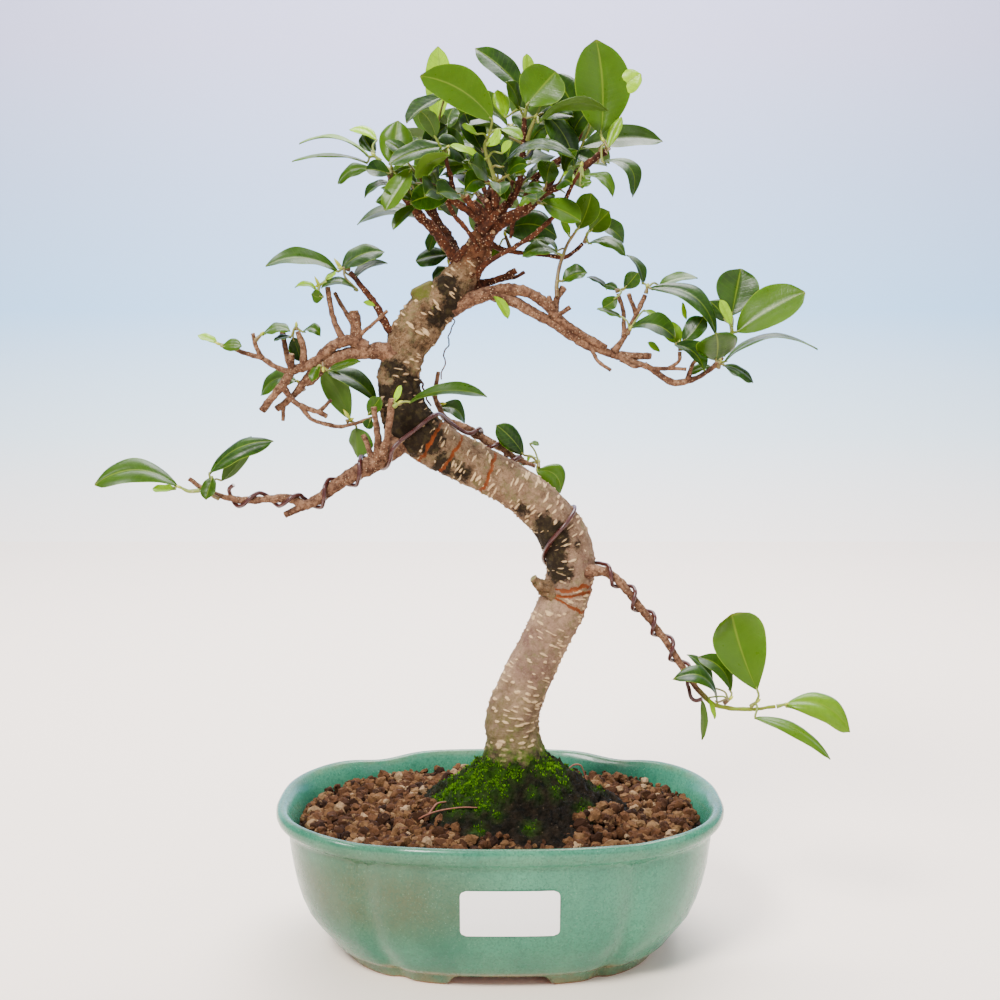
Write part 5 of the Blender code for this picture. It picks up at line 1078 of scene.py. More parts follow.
# Shoots: the stem's points (x, z, depth); then its leaves, each (base x, z, tip x, z, width, arch, roll,
# depth, depth gained, how young)
shoots = {
    "shoot_left_top": """-80.5 370 -8, -84 371 -9;
        -86 369.5 -125 372.5 15 5 50 -10 -6 .25, -84.5 371 -61.5 380 16 3 45 -8 4 .2,
        -78 366 -60 374 12 2 62 -4 8 .15, -76 359.5 -95.5 361 13 4 68 -13 -6 .05""",
    "shoot_left_fork": """-93.2 363.6 -15.5, -96 362.5 -15;
        -97 358.5 -109.5 361.3 7 3 65 -16 -3 .9, -94.5 356 -100.7 357.5 7 -1 10 -18 -3 .3,
        -93 365 -88 370 6 0 50 -14 4 .9""",
    "shoot_left_far": """-144 328.8 -7, -150 330.8 -7;
        -149.3 329.6 -138.7 330 7.5 1.5 25 -11 -3 .3, -151.5 331.7 -162 336 7 0 55 -6 3 .7""",
    "shoot_left_spur": """-130.5 333.5 -15, -128.5 335.5 -15;
        -127.5 336 -112.5 338.3 12 3 60 -15 -3 .3""",
    "shoot_left_mid": """-108.7 338.5 -14, -109 340 -14;
        -106 337.6 -96.3 335.6 8 3 50 -15 -3 .25, -111 334.5 -107 321.5 9 0 15 -5 2 .1,
        -112 335 -121.3 333 8 .8 65 -18 -2 .15""",
    "shoot_left_under": """-106 307 -4, -107.5 309.5 -3;
        -109.5 311.3 -129 303.5 15 4.5 48 -2 4 .2""",
    "shoot_left_hanging": """-82 289 -5, -81.5 290 -4;
        -81 291 -94.8 317 16 1.5 155 0 4 .3, -77.5 286 -76.5 270 16 0 150 -8 2 .25""",
    "shoot_left_inner": """-68.5 292 -3, -67 294 -1;
        -71 293 -64.5 302.5 9 0 20 -12 -2 .3, -69.5 291 -72 285.5 6.5 0 20 -6 0 .2,
        -66.5 300 -92.5 316 15 5 50 2 2 .2""",
    "shoot_left_strand": """-95 320 -17, -95 318.5 -18;
        -92.5 317 -75 322 9 .5 60 -18 -2 .2, -97.5 319.5 -101.3 311 7 0 40 -17 -2 .35""",
    "shoot_low_tip": """-164 252 -18, -169 251.6 -18, -173 253.5 -18;
        -174.5 254.3 -220 255.3 18 7.5 50 -18 -6 .3, -176 253.5 -188.5 253.3 7 -1 60 -14 6 1""",
    "shoot_low_mid": """-153.5 248 -20, -156.5 250 -22, -157 256 -23;
        -157.5 261.5 -122.5 279 15 4.5 50 -22 4 .25, -151 257.5 -134.5 281.5 11 -2 140 -12 8 .15,
        -156 259.5 -160 247 9.5 0 25 -27 -4 .35""",
    "shoot_low_upright": """-56.7 298 -27, -55 299 -28;
        -49 300 -7 303 13 5.5 62 -29 -4 .25, -57 300 -53.5 309 4 0 30 -27 0 1""",
    "shoot_back_twig": """-33 299 20.5, -32 299 21;
        -33 297 -19 288.5 13 4 48 18 4 .2""",
    "shoot_back_end": """20.5 265 22.5, 21 267 25;
        13 271.3 -1.8 287.5 13 1 25 20 -6 .1, 16 277.5 21.3 277 4 .5 50 26 0 .3,
        13 266 8 271 6 0 30 25 4 .1, 20 263 33 250.7 15 5 25 21 2 .35, 15 266.5 20.3 269.5 4 3 60 27 2 .95""",
    "shoot_lowest_tip": """152.7 132.2 -6, 157 133.2 -6;
        158 133.8 194 117.8 18 8 45 -6 -6 .5, 158 132.3 183 122.5 9 2 60 -9 -6 1""",
    "shoot_lowest_big": """139 132.3 -9, 141.5 134.5 -10;
        142 141 127 184 30 0 8 -11 6 .45, 141 126 183.5 102.3 13 6 65 -14 -8 .5""",
    "shoot_lowest_inner": """124.5 133.5 -8, 126.5 136 -8;
        127.5 140.3 109 160 13 5 40 -4 6 .15, 117 143 103 161.5 9 3 55 2 6 .15,
        120.5 134.5 95.5 147.7 14 8 62 -16 -5 0""",
    "shoot_right_upright": """30.5 357 -10, 30.3 362.5 -10, 31.5 371 -8, 33.5 377.5 -7, 36 384 -6, 40 390 -8;
        33 364.3 46.5 369 12 1.5 45 -9 -3 .15, 31 379 12 377.5 12 3.5 50 -9 -4 .2,
        31 380.5 18 386.5 8 2.5 65 -3 4 .05, 41.5 391.5 48.5 410.5 14 0 15 -12 -3 .3,
        37 388 33 397.5 5 0 30 -6 3 .6""",
    "shoot_right_cup": """44.7 384.8 10, 46 388 9;
        47 384.5 67 378 13 5 58 8 -4 .3, 50 394 66 384.5 14 3 45 12 2 .25, 48 390.5 58 401 13 0 15 4 -6 .4""",
    "shoot_right_twig": """62.7 358.5 -4, 64.5 359.7 -4;
        63 359.8 55.8 362.5 6 1 35 -3 2 .05, 57.5 360.5 46.5 366.8 8 1.5 65 -1 2 .2,
        66.3 360.3 73.5 368.8 9 0 15 -8 -3 .2, 62.5 356 54.8 350.5 8 -1 15 -7 -2 .35""",
    "shoot_right_mid": """77.8 358 -8, 78.5 360.5 -8;
        80 360.8 116 335.3 18 9 50 -12 -6 .05, 76.5 363 67.5 378.3 10 3 55 -4 4 .25,
        85 362 105.5 366.2 11 1.5 60 0 6 .3""",
    "shoot_right_side": """68.8 337 -11, 69.5 338.5 -12;
        70 340 94 334 17 4.5 50 -13 -3 .2""",
    "shoot_right_low": """96.6 327.5 -14, 96.5 330 -14;
        94 331 110 316.5 15 4 45 -17 -4 .1, 96.5 331 87 341.8 11 0 20 -8 3 .65,
        98 332 109 345.7 13 0 35 -13 2 .02""",
    "shoot_right_tip": """119.6 324.8 -10, 122.5 331 -10, 124 337 -10;
        124 346 128.5 371 23 0 5 0 4 .3, 127 337.5 163 358.5 23 2 30 -9 -5 .5,
        124 340.5 117.5 354.5 6 0 25 -15 -2 1, 121 343 112 354 12 1 20 -3 3 .2""",
    "shoot_right_outer": """117.3 319.2 -12, 118 321 -14;
        120 321.5 170.5 328.3 16 9.5 78 -8 -2 .35, 116 322 116 336.5 22 0 0 -16 -16 .15,
        120 320 136.5 310.5 13 2 60 -14 -3 .1""",
    "shoot_crown_left": """-51.3 414 -15, -51.5 417 -16;
        -47 423 -61 401.5 13 0 25 -22 -4 .4, -46 413 -66 406 14 2 50 -6 0 .1,
        -55 415 -72 408.3 11 3 62 -12 -2 .1""",
    "shoot_crown_left_round": """-57.3 418 -12, -57.5 422 -12;
        -58 420.5 -71 423 12 .5 35 -17 -2 .1, -57.5 425.5 -54 448 18 0 8 -14 4 .35,
        -68 423 -86 415.5 13 4 50 -8 3 .2""",
    "shoot_crown_left_far": """-63.4 427 -2, -66 429.5 -2;
        -69 429.5 -106 436.3 11 6.5 74 -4 -2 .75, -70 426.5 -110 427.2 12 3.5 76 2 4 .6,
        -65 438 -79.5 443.6 9 2.5 50 4 4 .95, -66 431.5 -72.5 441.3 9 0 20 10 4 .15""",
    "shoot_crown_front_left": """-29.1 431 -24, -28.5 433 -25;
        -27 434.5 -59 425.5 14 3 40 -26 0 .1, -27 430.5 -45 418.5 13 3 120 -29 -2 .8""",
    "shoot_crown_front": """-2.5 417.3 -12.5, -4.5 423 -14, -8 434 -16, -6 440 -17;
        -4 448.5 -42 471 22 3 15 -20 -6 .35, -9 427.8 -27 435 9 1 60 -17 -4 .95,
        -7 435 -.5 444 7 -1 35 -22 -2 .9, 0 424 40 428.5 15 9 62 -18 -4 .1,
        -9 432 -18.5 452 14 0 25 -10 4 0, 0 443.5 12 438.5 9 1.5 50 -19 -2 .7""",
    "shoot_crown_back_left": """-36 425 28, -34.5 434 26, -33.5 442 24;
        -33.5 446 -32.5 486 15 0 10 20 2 .85, -29 460.5 -49.5 447 15 2 50 8 -8 .05,
        -41 432.5 -28 445.7 13 1 25 14 -4 .05, -41 433 -51 437.5 8 1 30 22 4 .1""",
    "shoot_crown_top": """12.9 450 -3, 14 454 -4;
        14 456 29.5 473.3 25 0 12 -12 4 .35, 13 462 -13 485 17 3 35 2 4 .2, 15 468 14 482.3 8 0 30 8 2 .9,
        3 449.5 -1.5 464 9 0 15 8 4 .8""",
    "shoot_crown_top_side": """14.6 438.5 -4, 16 443 -6, 18.5 449 -8;
        20 447 57 453.5 13 7 110 -16 -4 .3, 24 451.5 39.5 424 17 3 30 -5 2 .05,
        22.8 459 27.5 455.7 4 1 40 -12 0 1""",
    "shoot_crown_right_tip": """56.4 433.2 -14, 55 437 -13;
        53.3 441 50.5 489.5 30 0 5 -8 6 .4, 54 427.5 70.5 408.5 14 8 48 -19 -2 .3,
        52 426.5 40 431.5 10 0 40 -4 4 .05""",
    "shoot_crown_right_up": """44.2 446.2 7, 48 450 5, 54.5 455 0;
        62 462.5 74 472 13 1 15 -12 -4 1, 42.5 448 27.5 473 21 0 20 4 6 .05,
        43 434.5 86 437.5 18 5 40 16 4 .35""",
    "shoot_crown_right_long": """42.2 421.6 -22, 43 424 -22;
        44 419.5 60 408.8 11 5 50 -26 -3 .5, 42.5 414.5 48.5 416.5 6 .5 30 -29 -2 .3,
        39 416.5 33.5 421.5 5 0 25 -21 3 1""",
    "shoot_crown_right_low": """21 405.5 -13, 22 405 -14;
        23 405.5 43 396 16 1.5 35 -15 -4 .35""",
    "shoot_crown_under": """5 382.5 10, 3 388 12;
        2.5 391 30.5 387.5 20 6 20 14 2 0, 0 383.5 -5.5 375.8 7 0 20 16 2 .3""",
    "shoot_crown_left_under": """-28 386 17, -27.5 376 17;
        -39 395.7 -76 394.2 16 6.5 58 14 2 .2, -27.5 378.5 -45 375 15 1 40 18 2 .1,
        -34.5 391 -38 380 7 0 25 12 0 .2, -27 371.5 -36 365 10 1 45 18 2 .1""",
    "shoot_back_top": """6 437 40, 6 444 42;
        8 447 16 469 19 0 150 46 8 .3, 4 446 -18 458 18 3 120 46 6 .25, 10 443 34 452 18 3 125 48 6 .3,
        6 441 0 424 16 0 150 52 10 .2, 3 443 -14 440 16 3 110 58 14 .35, 9 441 26 432 17 2 115 56 12 .25""",
    "shoot_back_right": """36.3 432.8 44, 37 435 45;
        38 437 52 450 17 1 130 48 8 .3, 39 433 58 426 17 3 120 50 6 .3, 36 430 44 413 16 0 140 50 8 .2,
        34 438 28 452 15 0 150 54 8 .6""",
    "shoot_back_left": """-30.3 436.8 44, -31 439 45;
        -33 441 -46 456 17 1 135 48 6 .3, -34 437 -56 436 17 4 118 50 6 .3,
        -31 434 -42 417 16 1 140 52 8 .2, -27 440 -15 452 16 1 140 54 8 .3""",
    "shoot_back_low": """-12.1 410.3 47, -12 411 49;
        -14 410 -33 402 17 3 120 52 10 .25, -10 410 10 403 17 3 120 54 10 .25,
        -12 408 -10 389 16 0 150 54 8 .2, -13 413 -20 428 15 0 150 60 8 .3""",
}


leafLook = {
    "along": 22, "across": 5, "thick": 0.42, "fold": 0.16, "wave": 0.34, "petiole": 0.62, "stem": 1.05,
    "seed": 41,
    "deep": (0.0045, 0.0190, 0.0004), "middle": (0.0190, 0.0560, 0.0006), "young": (0.29, 0.52, 0.0005),
    "rib": (0.125, 0.185, 0.010), "under": (0.052, 0.110, 0.009),
}
# small leaves, buds and spikes that the CAD leaves out, as rows of the same kind
smallLeaves = {
    "shoot_left_top": """-84 370 -88.5 376.5 2.2 0 20 -8 -1 1""",
    "shoot_left_fork": """-96 361 -99 367 1.8 0 20 -15 -1 1""",
    "shoot_left_hanging": """-81 291 -84.5 296 2 0 30 -5 1 1""",
    "shoot_left_inner": """-60.5 290 -61.5 296 2 0 20 -3 -1 1, -56.5 285 -54.8 290.5 1.8 0 20 -5 -1 1""",
    "shoot_right_side": """77 349 84 345 4.5 .5 40 -8 -2 .6, 65 345.5 52 350 8 .8 62 -9 -3 .45""",
    "shoot_right_twig": """86 327 79.5 332 5 .5 40 -10 -2 .6, 98 353 100 344 3.5 0 30 -10 2 .95""",
    "shoot_right_cup": """113 319.5 101 314.5 6 1 45 -10 2 .5""",
    "shoot_lowest_inner": """111.5 136 112 113 5 .6 25 -13 2 .45, 115 137 119 125 4 .5 40 -12 -2 .7""",
    "shoot_left_strand": """-66.5 351.5 -73 353.5 4 .4 40 -8 -1 .7""",
    "shoot_right_upright": """-3 356.5 4.5 344.5 6.5 1 40 -12 -2 .85""",
    "shoot_crown_right_tip": """57 434 64 450 7 1 35 -15 3 .8""",
    "shoot_crown_left": """-46 407 -63 413.5 9 1.5 45 -19 -3 .25, -45 404 -57 391.5 9 1 40 -17 -4 .3""",
    "shoot_crown_front": """1 431 6 437.5 5 .5 30 -24 -2 .8, -12 441 -20 446 5 .5 40 -22 -3 .6""",
    "shoot_crown_under": """
        -4 418 -14 430 9 1 30 10 -3 .4, 12.5 411.5 23 411.5 8 1 35 -16 -3 .3,
        8 420 14 422 5 .5 30 -14 -2 .6, 10 404 18 409 6 .5 40 -12 -2 .5, -13 420 -20 427 7 1 40 -12 -2 .4""",
}


def bladeFrame(base, tip, up, roll):
    # base, tip, the way the arch rises, the upper face and the side
    axis = unit(tip - base)
    up = unit(up - axis * up.dot(axis))
    toward = np.array((0.0, -1.0, 0.0))
    toward = unit(toward - axis * toward.dot(axis))
    turn = math.radians(roll)
    face = unit(toward * math.cos(turn) + up * math.sin(turn))
    return base, tip, up, face, unit(np.cross(axis, face))


def leafFrame(row, shift):
    bx, bz, tx, tz, _, _, roll, depth, gain, _ = row
    base, tip = place(bx, bz, depth + shift), place(tx, tz, depth + gain + shift)
    axis = unit(tip - base)
    up = np.array((-axis[2], 0.0, axis[0]))
    return bladeFrame(base, tip, -up if up[2] < 0 or (abs(up[2]) < 1e-6 and up[0] < 0) else up, roll)


def leafBlade(frame, width, arch, young, seed, blunt=False):
    # A thin, folded, pointed blade: the outline's half width follows t^broad (1 - t)^steep
    base, tip, up, face, side = frame
    luck = random.Random(seed)
    small = width < 6
    rows, half = (12 if small else leafLook["along"]), (2 if small else leafLook["across"])
    long = float(np.linalg.norm(tip - base))
    axis = (tip - base) / long
    broad = luck.uniform(0.70, 0.92)
    steep = luck.uniform(0.58, 0.72)
    if blunt:
        broad, steep = 0.98, 0.44
    fold = leafLook["fold"] * luck.uniform(0.7, 1.5)
    curl = luck.uniform(-0.06, 0.18)
    ripple, phase = leafLook["wave"] * luck.uniform(0.3, 1.4) * min(width / 12, 1.2), luck.uniform(0, 6)
    bend, twist = luck.uniform(-0.05, 0.05) * long, luck.uniform(-0.25, 0.25)
    peak = (broad / (broad + steep)) ** broad * (steep / (broad + steep)) ** steep
    lanes = 2 * half + 1
    verts, u, v, under = [], [], [], []
    for lower in (0, 1):
        for r in range(rows):
            t = r / (rows - 1)
            tt = 0.004 + 0.992 * t
            shape = tt ** broad * (1 - tt) ** steep / peak
            shape *= 1 - (0.0 if blunt else 0.5) * math.exp(-((1 - tt) / 0.055) ** 2)
            spread = width / 2 * shape
            middle = base + axis * long * t + up * arch * 4 * t * (1 - t) + side * bend * 4 * t * (1 - t)
            turn = twist * (t - 0.4)
            s2 = side * math.cos(turn) + face * math.sin(turn)
            f2 = face * math.cos(turn) - side * math.sin(turn)
            thick = leafLook["thick"] * (1 + 1.1 * math.exp(-(t / 0.25) ** 2))
            for lane in range(lanes):
                w = (lane - half) / half
                a = abs(w)
                wave = ripple * a * a * math.sin(t * 13 + phase + (1.7 if w > 0 else 0))
                rise = spread * (fold * a - curl * a ** 3 * 2.2) + wave
                groove = -0.25 * math.exp(-(w * spread / 0.8) ** 2) * min(width / 10, 1.0)
                veins = 0.10 * math.sin((t * long - a * spread * 0.8) * 2 * math.pi / 3.1) * a * (1 - a) * 3.2
                veins *= min(width / 14, 1)
                edge = 1 - a ** 6
                height = rise + (groove + veins if not lower else 0.0)
                if blunt:
                    height += 9 * max(t - 0.80, 0.0) * a * (2.2 if w < 0 else 0.6)
                if lower:
                    keel = 0.34 * math.exp(-(w * spread / 0.5) ** 2)
                    height -= (thick * (0.35 + 0.65 * edge) + keel) * edge + 0.06
                verts.append(middle + s2 * (w * spread) + f2 * height)
                u.append(t)
                v.append(w)
                under.append(float(lower))
    tone = min(max(young + luck.uniform(-0.10, 0.12), 0.0), 1.0)
    marks = {"leafU": u, "leafV": v, "leafUnder": under, "leafTone": tone, "leafLong": long}
    return np.array(verts), slabFaces(lanes, rows), marks, 0


def stalkShape(points, radii, number, seed, tone, sides=9, rough=0.0):
    rows = splined([tuple(p) + (r,) for p, r in zip(points, radii)], 0.8)
    flat, out, _ = tube(rows[:, :3], np.maximum(rows[:, 3], 0.12), sides)
    if rough:
        flat = flat + out.reshape(-1, 3) * (roughness3(flat, 2.5, 2, seed) * rough)[:, None]
    share = np.repeat(np.linspace(0, 1, len(rows)), sides)
    return flat, ringFaces(len(rows), sides), {"leafU": share, "leafV": 0.0, "leafUnder": 0.0,
                                               "leafTone": tone}, number


def budShape(base, way, long, wide, seed):
    # a pointed bud (on the tree, two folded scales), made as one tapered tube
    points, radii = [], []
    for t in (0, 0.18, 0.4, 0.65, 0.85, 1.0):
        points.append(base + way * long * t)
        radii.append(wide * max(math.sin(math.pi * (0.16 + 0.84 * t)) ** 0.8, 0.08))
    return stalkShape(points, radii, 2, seed, 1.0)


def leafMaterial():
    look = Look("leaf", Roughness=0.3, Specular_IOR_Level=0.22, Subsurface_Weight=0.05, Subsurface_Scale=1.0)
    look.shader.inputs["Subsurface Radius"].default_value = (0.0006, 0.0014, 0.0003)
    u, v, tone = look.painted("leafU"), look.painted("leafV"), look.painted("leafTone")
    wide = look.maths("ABSOLUTE", v)
    patch = look.noisy(75, 5, 0.6, distortion=0.5)
    look.base = look.mix(look.ramp(patch, (0.36, 0), (0.66, 1)), leafLook["deep"], leafLook["middle"])
    look.coat(look.ramp(tone, (0.15, 0), (0.40, 0.38), (0.62, 0.92)), (0.078, 0.165, 0.001))
    look.coat(look.ramp(tone, (0.55, 0), (0.98, 0.95)), leafLook["young"])
    # side veins sweep forward from the midrib
    slant = look.maths("SUBTRACT", look.times(u, look.painted("leafLong")), look.times(wide, 4.2))
    vein = look.maths("COSINE", look.times(slant, 2.03))
    vein = look.ramp(vein, (0.80, 0), (1.0, 0.20))
    look.coat(vein, (0.055, 0.125, 0.004))
    paler = look.patches(340, 4, 0.65, (0.45, 0), (0.75, 0.3))
    look.coat(paler, (0.035, 0.090, 0.002))
    rib = look.ramp(look.times(wide, look.plus(0.55, look.times(u, -0.30))), (0.006, 0.75), (0.020, 0))
    look.coat(rib, leafLook["rib"])
    look.coat(look.ramp(wide, (0.955, 0), (0.992, 0.7)), (0.17, 0.27, 0.012))
    look.coat(look.ramp(u, (0.955, 0), (1.0, 0.6)), (0.18, 0.19, 0.02))
    look.coat(look.times(look.painted("leafUnder"), 0.82), leafLook["under"])
    rough = look.ramp(look.plus(look.noisy(160, 4, 0.6), look.times(look.painted("leafUnder"), 0.5)),
                      (0.3, 0.26), (0.7, 0.38), (1.2, 0.6))
    height = look.plus(look.noisy(900, 3, 0.5), look.times(vein, -1.2))
    return look.finished(Roughness=rough, Normal=look.bumped(height, 0.22, 0.0003))


def stemMaterial():
    look = Look("greenStem", Roughness=0.5)
    tone = look.painted("leafTone")
    look.base = look.mix(look.patches(220, 4, 0.6, (0.35, 0), (0.65, 1)), (0.10, 0.045, 0.018),
                         (0.15, 0.115, 0.022))
    look.coat(look.ramp(tone, (0.3, 0), (0.6, 0.85)), (0.17, 0.24, 0.018))
    look.coat(look.patches(700, 3, 0.55, (0.58, 0), (0.7, 0.5)), (0.40, 0.32, 0.16))
    return look.finished(Normal=look.bumped(look.noisy(600, 4, 0.6), 0.4, 0.0003))


def budMaterial():
    look = Look("bud", Roughness=0.35, Subsurface_Weight=0.1)
    look.shader.inputs["Subsurface Radius"].default_value = (0.0006, 0.0012, 0.0002)
    look.base = look.mix(look.painted("leafU"), (0.22, 0.29, 0.006), (0.46, 0.45, 0.03))
    return look.finished(Normal=look.bumped(look.noisy(500, 3), 0.2, 0.0003))


def stalkRoute(stem, base):
    # the petiole's middle line, from the nearest part of the stem to the blade
    spots = [(stem[k] + (stem[k + 1] - stem[k]) * (t / 4), stem[k + 1] - stem[k])
             for k in range(len(stem) - 1) for t in range(0 if k else 3, 5)]
    start, way = min(spots, key=lambda p: float(np.linalg.norm(p[0] - base)))
    reach = float(np.linalg.norm(base - start))
    bend = [start + (base - start) * 0.45 + unit(way) * min(reach * 0.2, 2.5)] if reach > 4 else []
    return [start] + bend + [base]


def settledShift(row, skin):
    # a CAD leaf that would meet another was moved back or forward in 3 mm steps: find where its tip went
    best, found = 9e9, 0.0
    for step in range(30):
        shift = 3.0 * ((step + 1) // 2) * (1 if step % 2 else -1)
        tip = leafFrame(row, shift)[1]
        off = float(np.min(((skin - tip) ** 2).sum(1)))
        if off < best - 1e-4:
            best, found = off, shift
        if off < 0.01:
            return shift
    print("leaf tip is", round(math.sqrt(best), 2), "mm off", row[:4])
    return found


def makeShoots(trees, looks):
    blades = []
    seed = leafLook["seed"]
    for name, table in shoots.items():
        stemPoints, leaves = paths(table)
        skin = np.array(nodeSkin(name)[0])
        stem = [np.array(lifted(Vector(place(*p)), trees, 1.15)) for p in stemPoints]
        total = len(stem) - 1
        tone = max(0.15, min(0.9, sum(row[9] for row in leaves) / len(leaves)))
        radii = [leafLook["stem"] * (1.15 - 0.4 * k / total) for k in range(len(stem))]
        root = stem[0] - unit(stem[1] - stem[0]) * 1.0
        shapes = [stalkShape([root] + stem, [radii[0]] + radii, 1, seed, tone, 12, 0.12)]
        way = unit(stem[-1] - stem[-2])
        shapes.append(budShape(stem[-1] - way * 0.3, way, 3.4, 0.95, seed))
        for row in leaves:
            shift = settledShift(row, skin)
            seed += 1
            base, tip = leafFrame(row, shift)[:2]
            route = stalkRoute(stem, base)
            along = unit(tip - base)
            thin = leafLook["petiole"] * (0.75 + 0.25 * min(row[4] / 14, 1.3))
            radii = [thin * 1.25] + [thin] * (len(route) - 1) + [thin * 0.55]
            shapes.append(stalkShape(route + [base + along * 2.2], radii, 1, seed, 0.35 + 0.6 * row[9]))
            blunt = name == "shoot_lowest_big" and row is leaves[0]
            shapes.append(leafBlade(leafFrame(row, shift), row[4], row[5], row[9], seed, blunt))
            blades.append(bladeTree(*shapes[-1][:2]))
        for row in paths(smallLeaves[name])[0] if name in smallLeaves else ():
            seed += 1
            base, tip = leafFrame(row, 0)[:2]
            if row[4] < 3:
                shapes.append(budShape(base, unit(tip - base), float(np.linalg.norm(tip - base)),
                                       row[4] / 2, seed))
                continue
            route = stalkRoute(stem, base)
            if np.linalg.norm(route[0] - base) < 16:
                radii = [0.6] + [0.5] * (len(route) - 1) + [0.3]
                shapes.append(stalkShape(route + [base + unit(tip - base) * 1.5], radii, 1, seed, 0.8))
            shapes.append(leafBlade(leafFrame(row, 0), row[4], row[5], row[9], seed))
            blades.append(bladeTree(*shapes[-1][:2]))
        piece(pieceName(name), shapes, looks, (name,), sharp=60)
    return blades


# The crown's inner leaves: dark ones that sprout from its twigs, each kept clear of every leaf before it
innerLeaves = {
    "count": 58, "seed": 5, "wide": (8, 16), "longer": (1.5, 2.1), "tries": 4000, "low": 402, "high": 468,
    "reach": 62,
}


def bladeTree(points, faces):
    return BVHTree.FromPolygons(np.asarray(points).tolist(), faces)


def makeInnerLeaves(looks, blades):
    twigs = [p for name in ("crown_left", "crown_front", "crown_right") for path in limbs[name]
             for p in path[2:]]
    twigs += [p for path in leaderTwigs for p in path[1:]]
    woods = [skinTree(name) for name in ("trunk", "crown_left", "crown_front", "crown_right")]
    middle = place(2, 418, 2)
    luck = random.Random(innerLeaves["seed"])
    shapes, made = [], 0
    for attempt in range(innerLeaves["tries"]):
        if made == innerLeaves["count"]:
            break
        x, z, depth, radius = luck.choice(twigs)
        start = place(x, z, depth)
        outward = unit(start - middle + np.array((0, 0, 8.0)))
        way = unit(outward + np.array([luck.gauss(0, 0.75) for _ in range(3)]))
        width = luck.uniform(*innerLeaves["wide"])
        long = width * luck.uniform(*innerLeaves["longer"])
        base = start + way * (radius + luck.uniform(4, 9))
        tip = base + way * long + np.array((0, 0, -luck.uniform(0, 5)))
        reach = innerLeaves["reach"]
        if not all(innerLeaves["low"] < p[2] < innerLeaves["high"] and max(abs(p[0]), abs(p[1])) < reach
                   for p in (base, tip)):
            continue
        roll = luck.uniform(0, 90)
        young = luck.choice((0.0, 0.05, 0.1, 0.2, 0.3))
        facing = bladeFrame(base, tip, np.array((0.0, 0.0, 1.0)), roll)
        blade = leafBlade(facing, width, luck.uniform(0.5, 4), young, 1000 + attempt)
        skin = bladeTree(blade[0], blade[1])
        if any(skin.overlap(tree) for tree in blades + woods):
            continue
        blades.append(skin)
        made += 1
        shapes.append(stalkShape([start, start + way * 2 + (base - start) * 0.3, base,
                                  base + unit(tip - base) * 2.2], [0.8, 0.65, 0.6, 0.35], 1, attempt,
                                  0.35 + young))
        shapes.append(blade)
    print("inner crown leaves:", made)
    piece("crownInnerLeaves", shapes, looks, sharp=60)


# Stage: a pale floor that meets a soft wall
stage = {
    "floorColour": (1.0, 0.86, 0.74), "floorShade": (0.96, 0.86, 0.76),
    # (height in metres, colour) up the wall
    "wallColours": ((0.0, (0.97, 0.89, 0.81)), (0.16, (0.64, 0.78, 0.88)), (0.42, (0.33, 0.58, 0.90)),
                    (1.0, (0.48, 0.49, 0.72))),
    "halfWide": 6.0, "front": -3.0, "back": 1.6, "curve": 0.7, "wallHigh": 4.5,
}


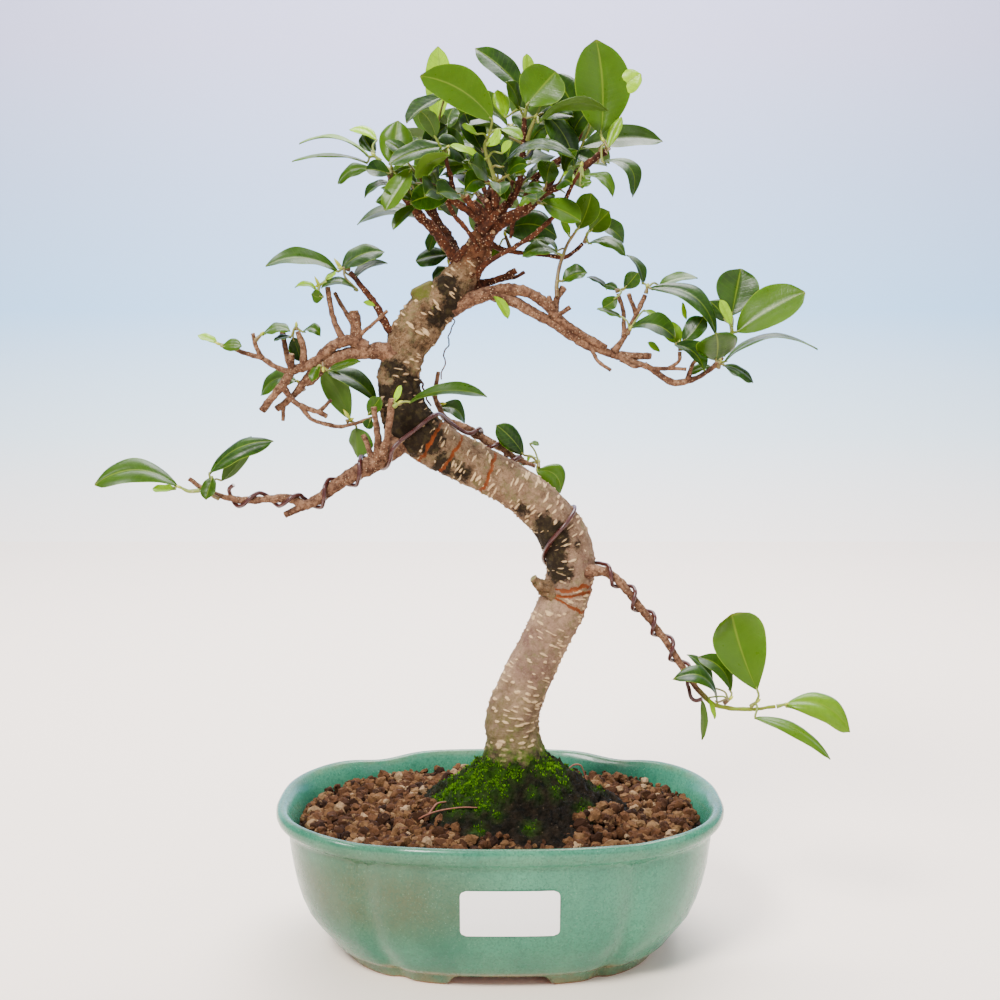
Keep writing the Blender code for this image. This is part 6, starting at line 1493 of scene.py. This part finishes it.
def makeStage():
    ground = Look("floor", Roughness=0.75, Specular_IOR_Level=0.25)
    ground.base = ground.mix(ground.patches(3, 3, 0.55, (0.3, 0), (0.7, 0.25)), stage["floorColour"],
                             stage["floorShade"])
    behind = Look("wall", Roughness=1.0, Specular_IOR_Level=0.0)
    behind.base = behind.ramp(behind.add("SeparateXYZ", {"Vector": behind.here()})["Z"],
                              *stage["wallColours"])
    back, curve = stage["back"], stage["curve"]
    turns = np.linspace(0.15, math.pi / 2, 9)
    wall = ([(back, 0)] + [(back + curve * math.sin(a), curve - curve * math.cos(a)) for a in turns]
            + [(back + curve, stage["wallHigh"])])
    for look, rows in ((ground, [(stage["front"], 0), (back, 0)]), (behind, wall)):
        mesh = bpy.data.meshes.new(look.made.name)
        verts = [(x, y, z) for y, z in rows for x in (-stage["halfWide"], stage["halfWide"])]
        faces = [(2 * k, 2 * k + 1, 2 * k + 3, 2 * k + 2) for k in range(len(rows) - 1)]
        mesh.from_pydata(verts, [], faces)
        mesh.shade_smooth()
        mesh.materials.append(look.finished())
        obj = bpy.data.objects.new(mesh.name, mesh)
        bpy.context.scene.collection.objects.link(obj)


# (name, place, what it aims at, size, watts, colour)
lamps = (("key", (-0.8, -1.2, 1.7), (0, 0, 0.24), 0.6, 86, (1.0, 0.98, 0.94)),
         ("fill", (1.3, -1.1, 0.9), (0, 0, 0.22), 1.4, 12, (0.97, 0.98, 1.0)),
         ("top", (0.3, 0.5, 1.6), (0, 0, 0.3), 1.0, 26, (0.99, 0.99, 1.0)),
         ("wallWash", (0.0, 0.9, 2.1), (0, 2.3, 0.6), 1.8, 130, (1.0, 0.99, 0.98)))
sky = {"colour": (0.86, 0.88, 1.0, 1.0), "strength": 0.5}


def makeLights():
    for name, spot, aim, size, watts, colour in lamps:
        data = bpy.data.lights.new(name, "AREA")
        data.energy, data.size, data.color = watts, size, colour
        obj = bpy.data.objects.new(name, data)
        obj.location = spot
        obj.rotation_euler = (Vector(aim) - Vector(spot)).to_track_quat("-Z", "Y").to_euler()
        bpy.context.scene.collection.objects.link(obj)
    world = bpy.data.worlds.new("sky")
    bpy.context.scene.world = world
    world.use_nodes = True
    inputs = world.node_tree.nodes["Background"].inputs
    inputs["Color"].default_value, inputs["Strength"].default_value = sky["colour"], sky["strength"]


def dressDrains():
    look = Look("meshPlastic", Roughness=0.45)
    look.base = look.mix(look.noisy(300, 3), (0.016, 0.016, 0.018), (0.04, 0.04, 0.042))
    plastic = look.finished()
    for name in ("drain_mesh_left", "drain_mesh_right"):
        mesh = bpy.data.objects[name].data
        mesh.materials.clear()
        mesh.materials.append(plastic)


makePot()
print("pot made")
makeSoil()
print("soil made")
makeMound()
print("mound made")
makeLabel()
dressDrains()
print("label and drain meshes made")
makeRootlets()
makeWood()
print("wood made")
skins = [skinTree(name) for name in ["trunk"] + list(limbs)]
makeWires(skins)
print("wires made")
leafLooks = [leafMaterial(), stemMaterial(), budMaterial()]
blades = makeShoots(skins + [skinTree("wire_left"), skinTree("wire_right")], leafLooks)
makeInnerLeaves(leafLooks, blades)
print("shoots made")
makeStage()
makeLights()
print("stage and lights made")
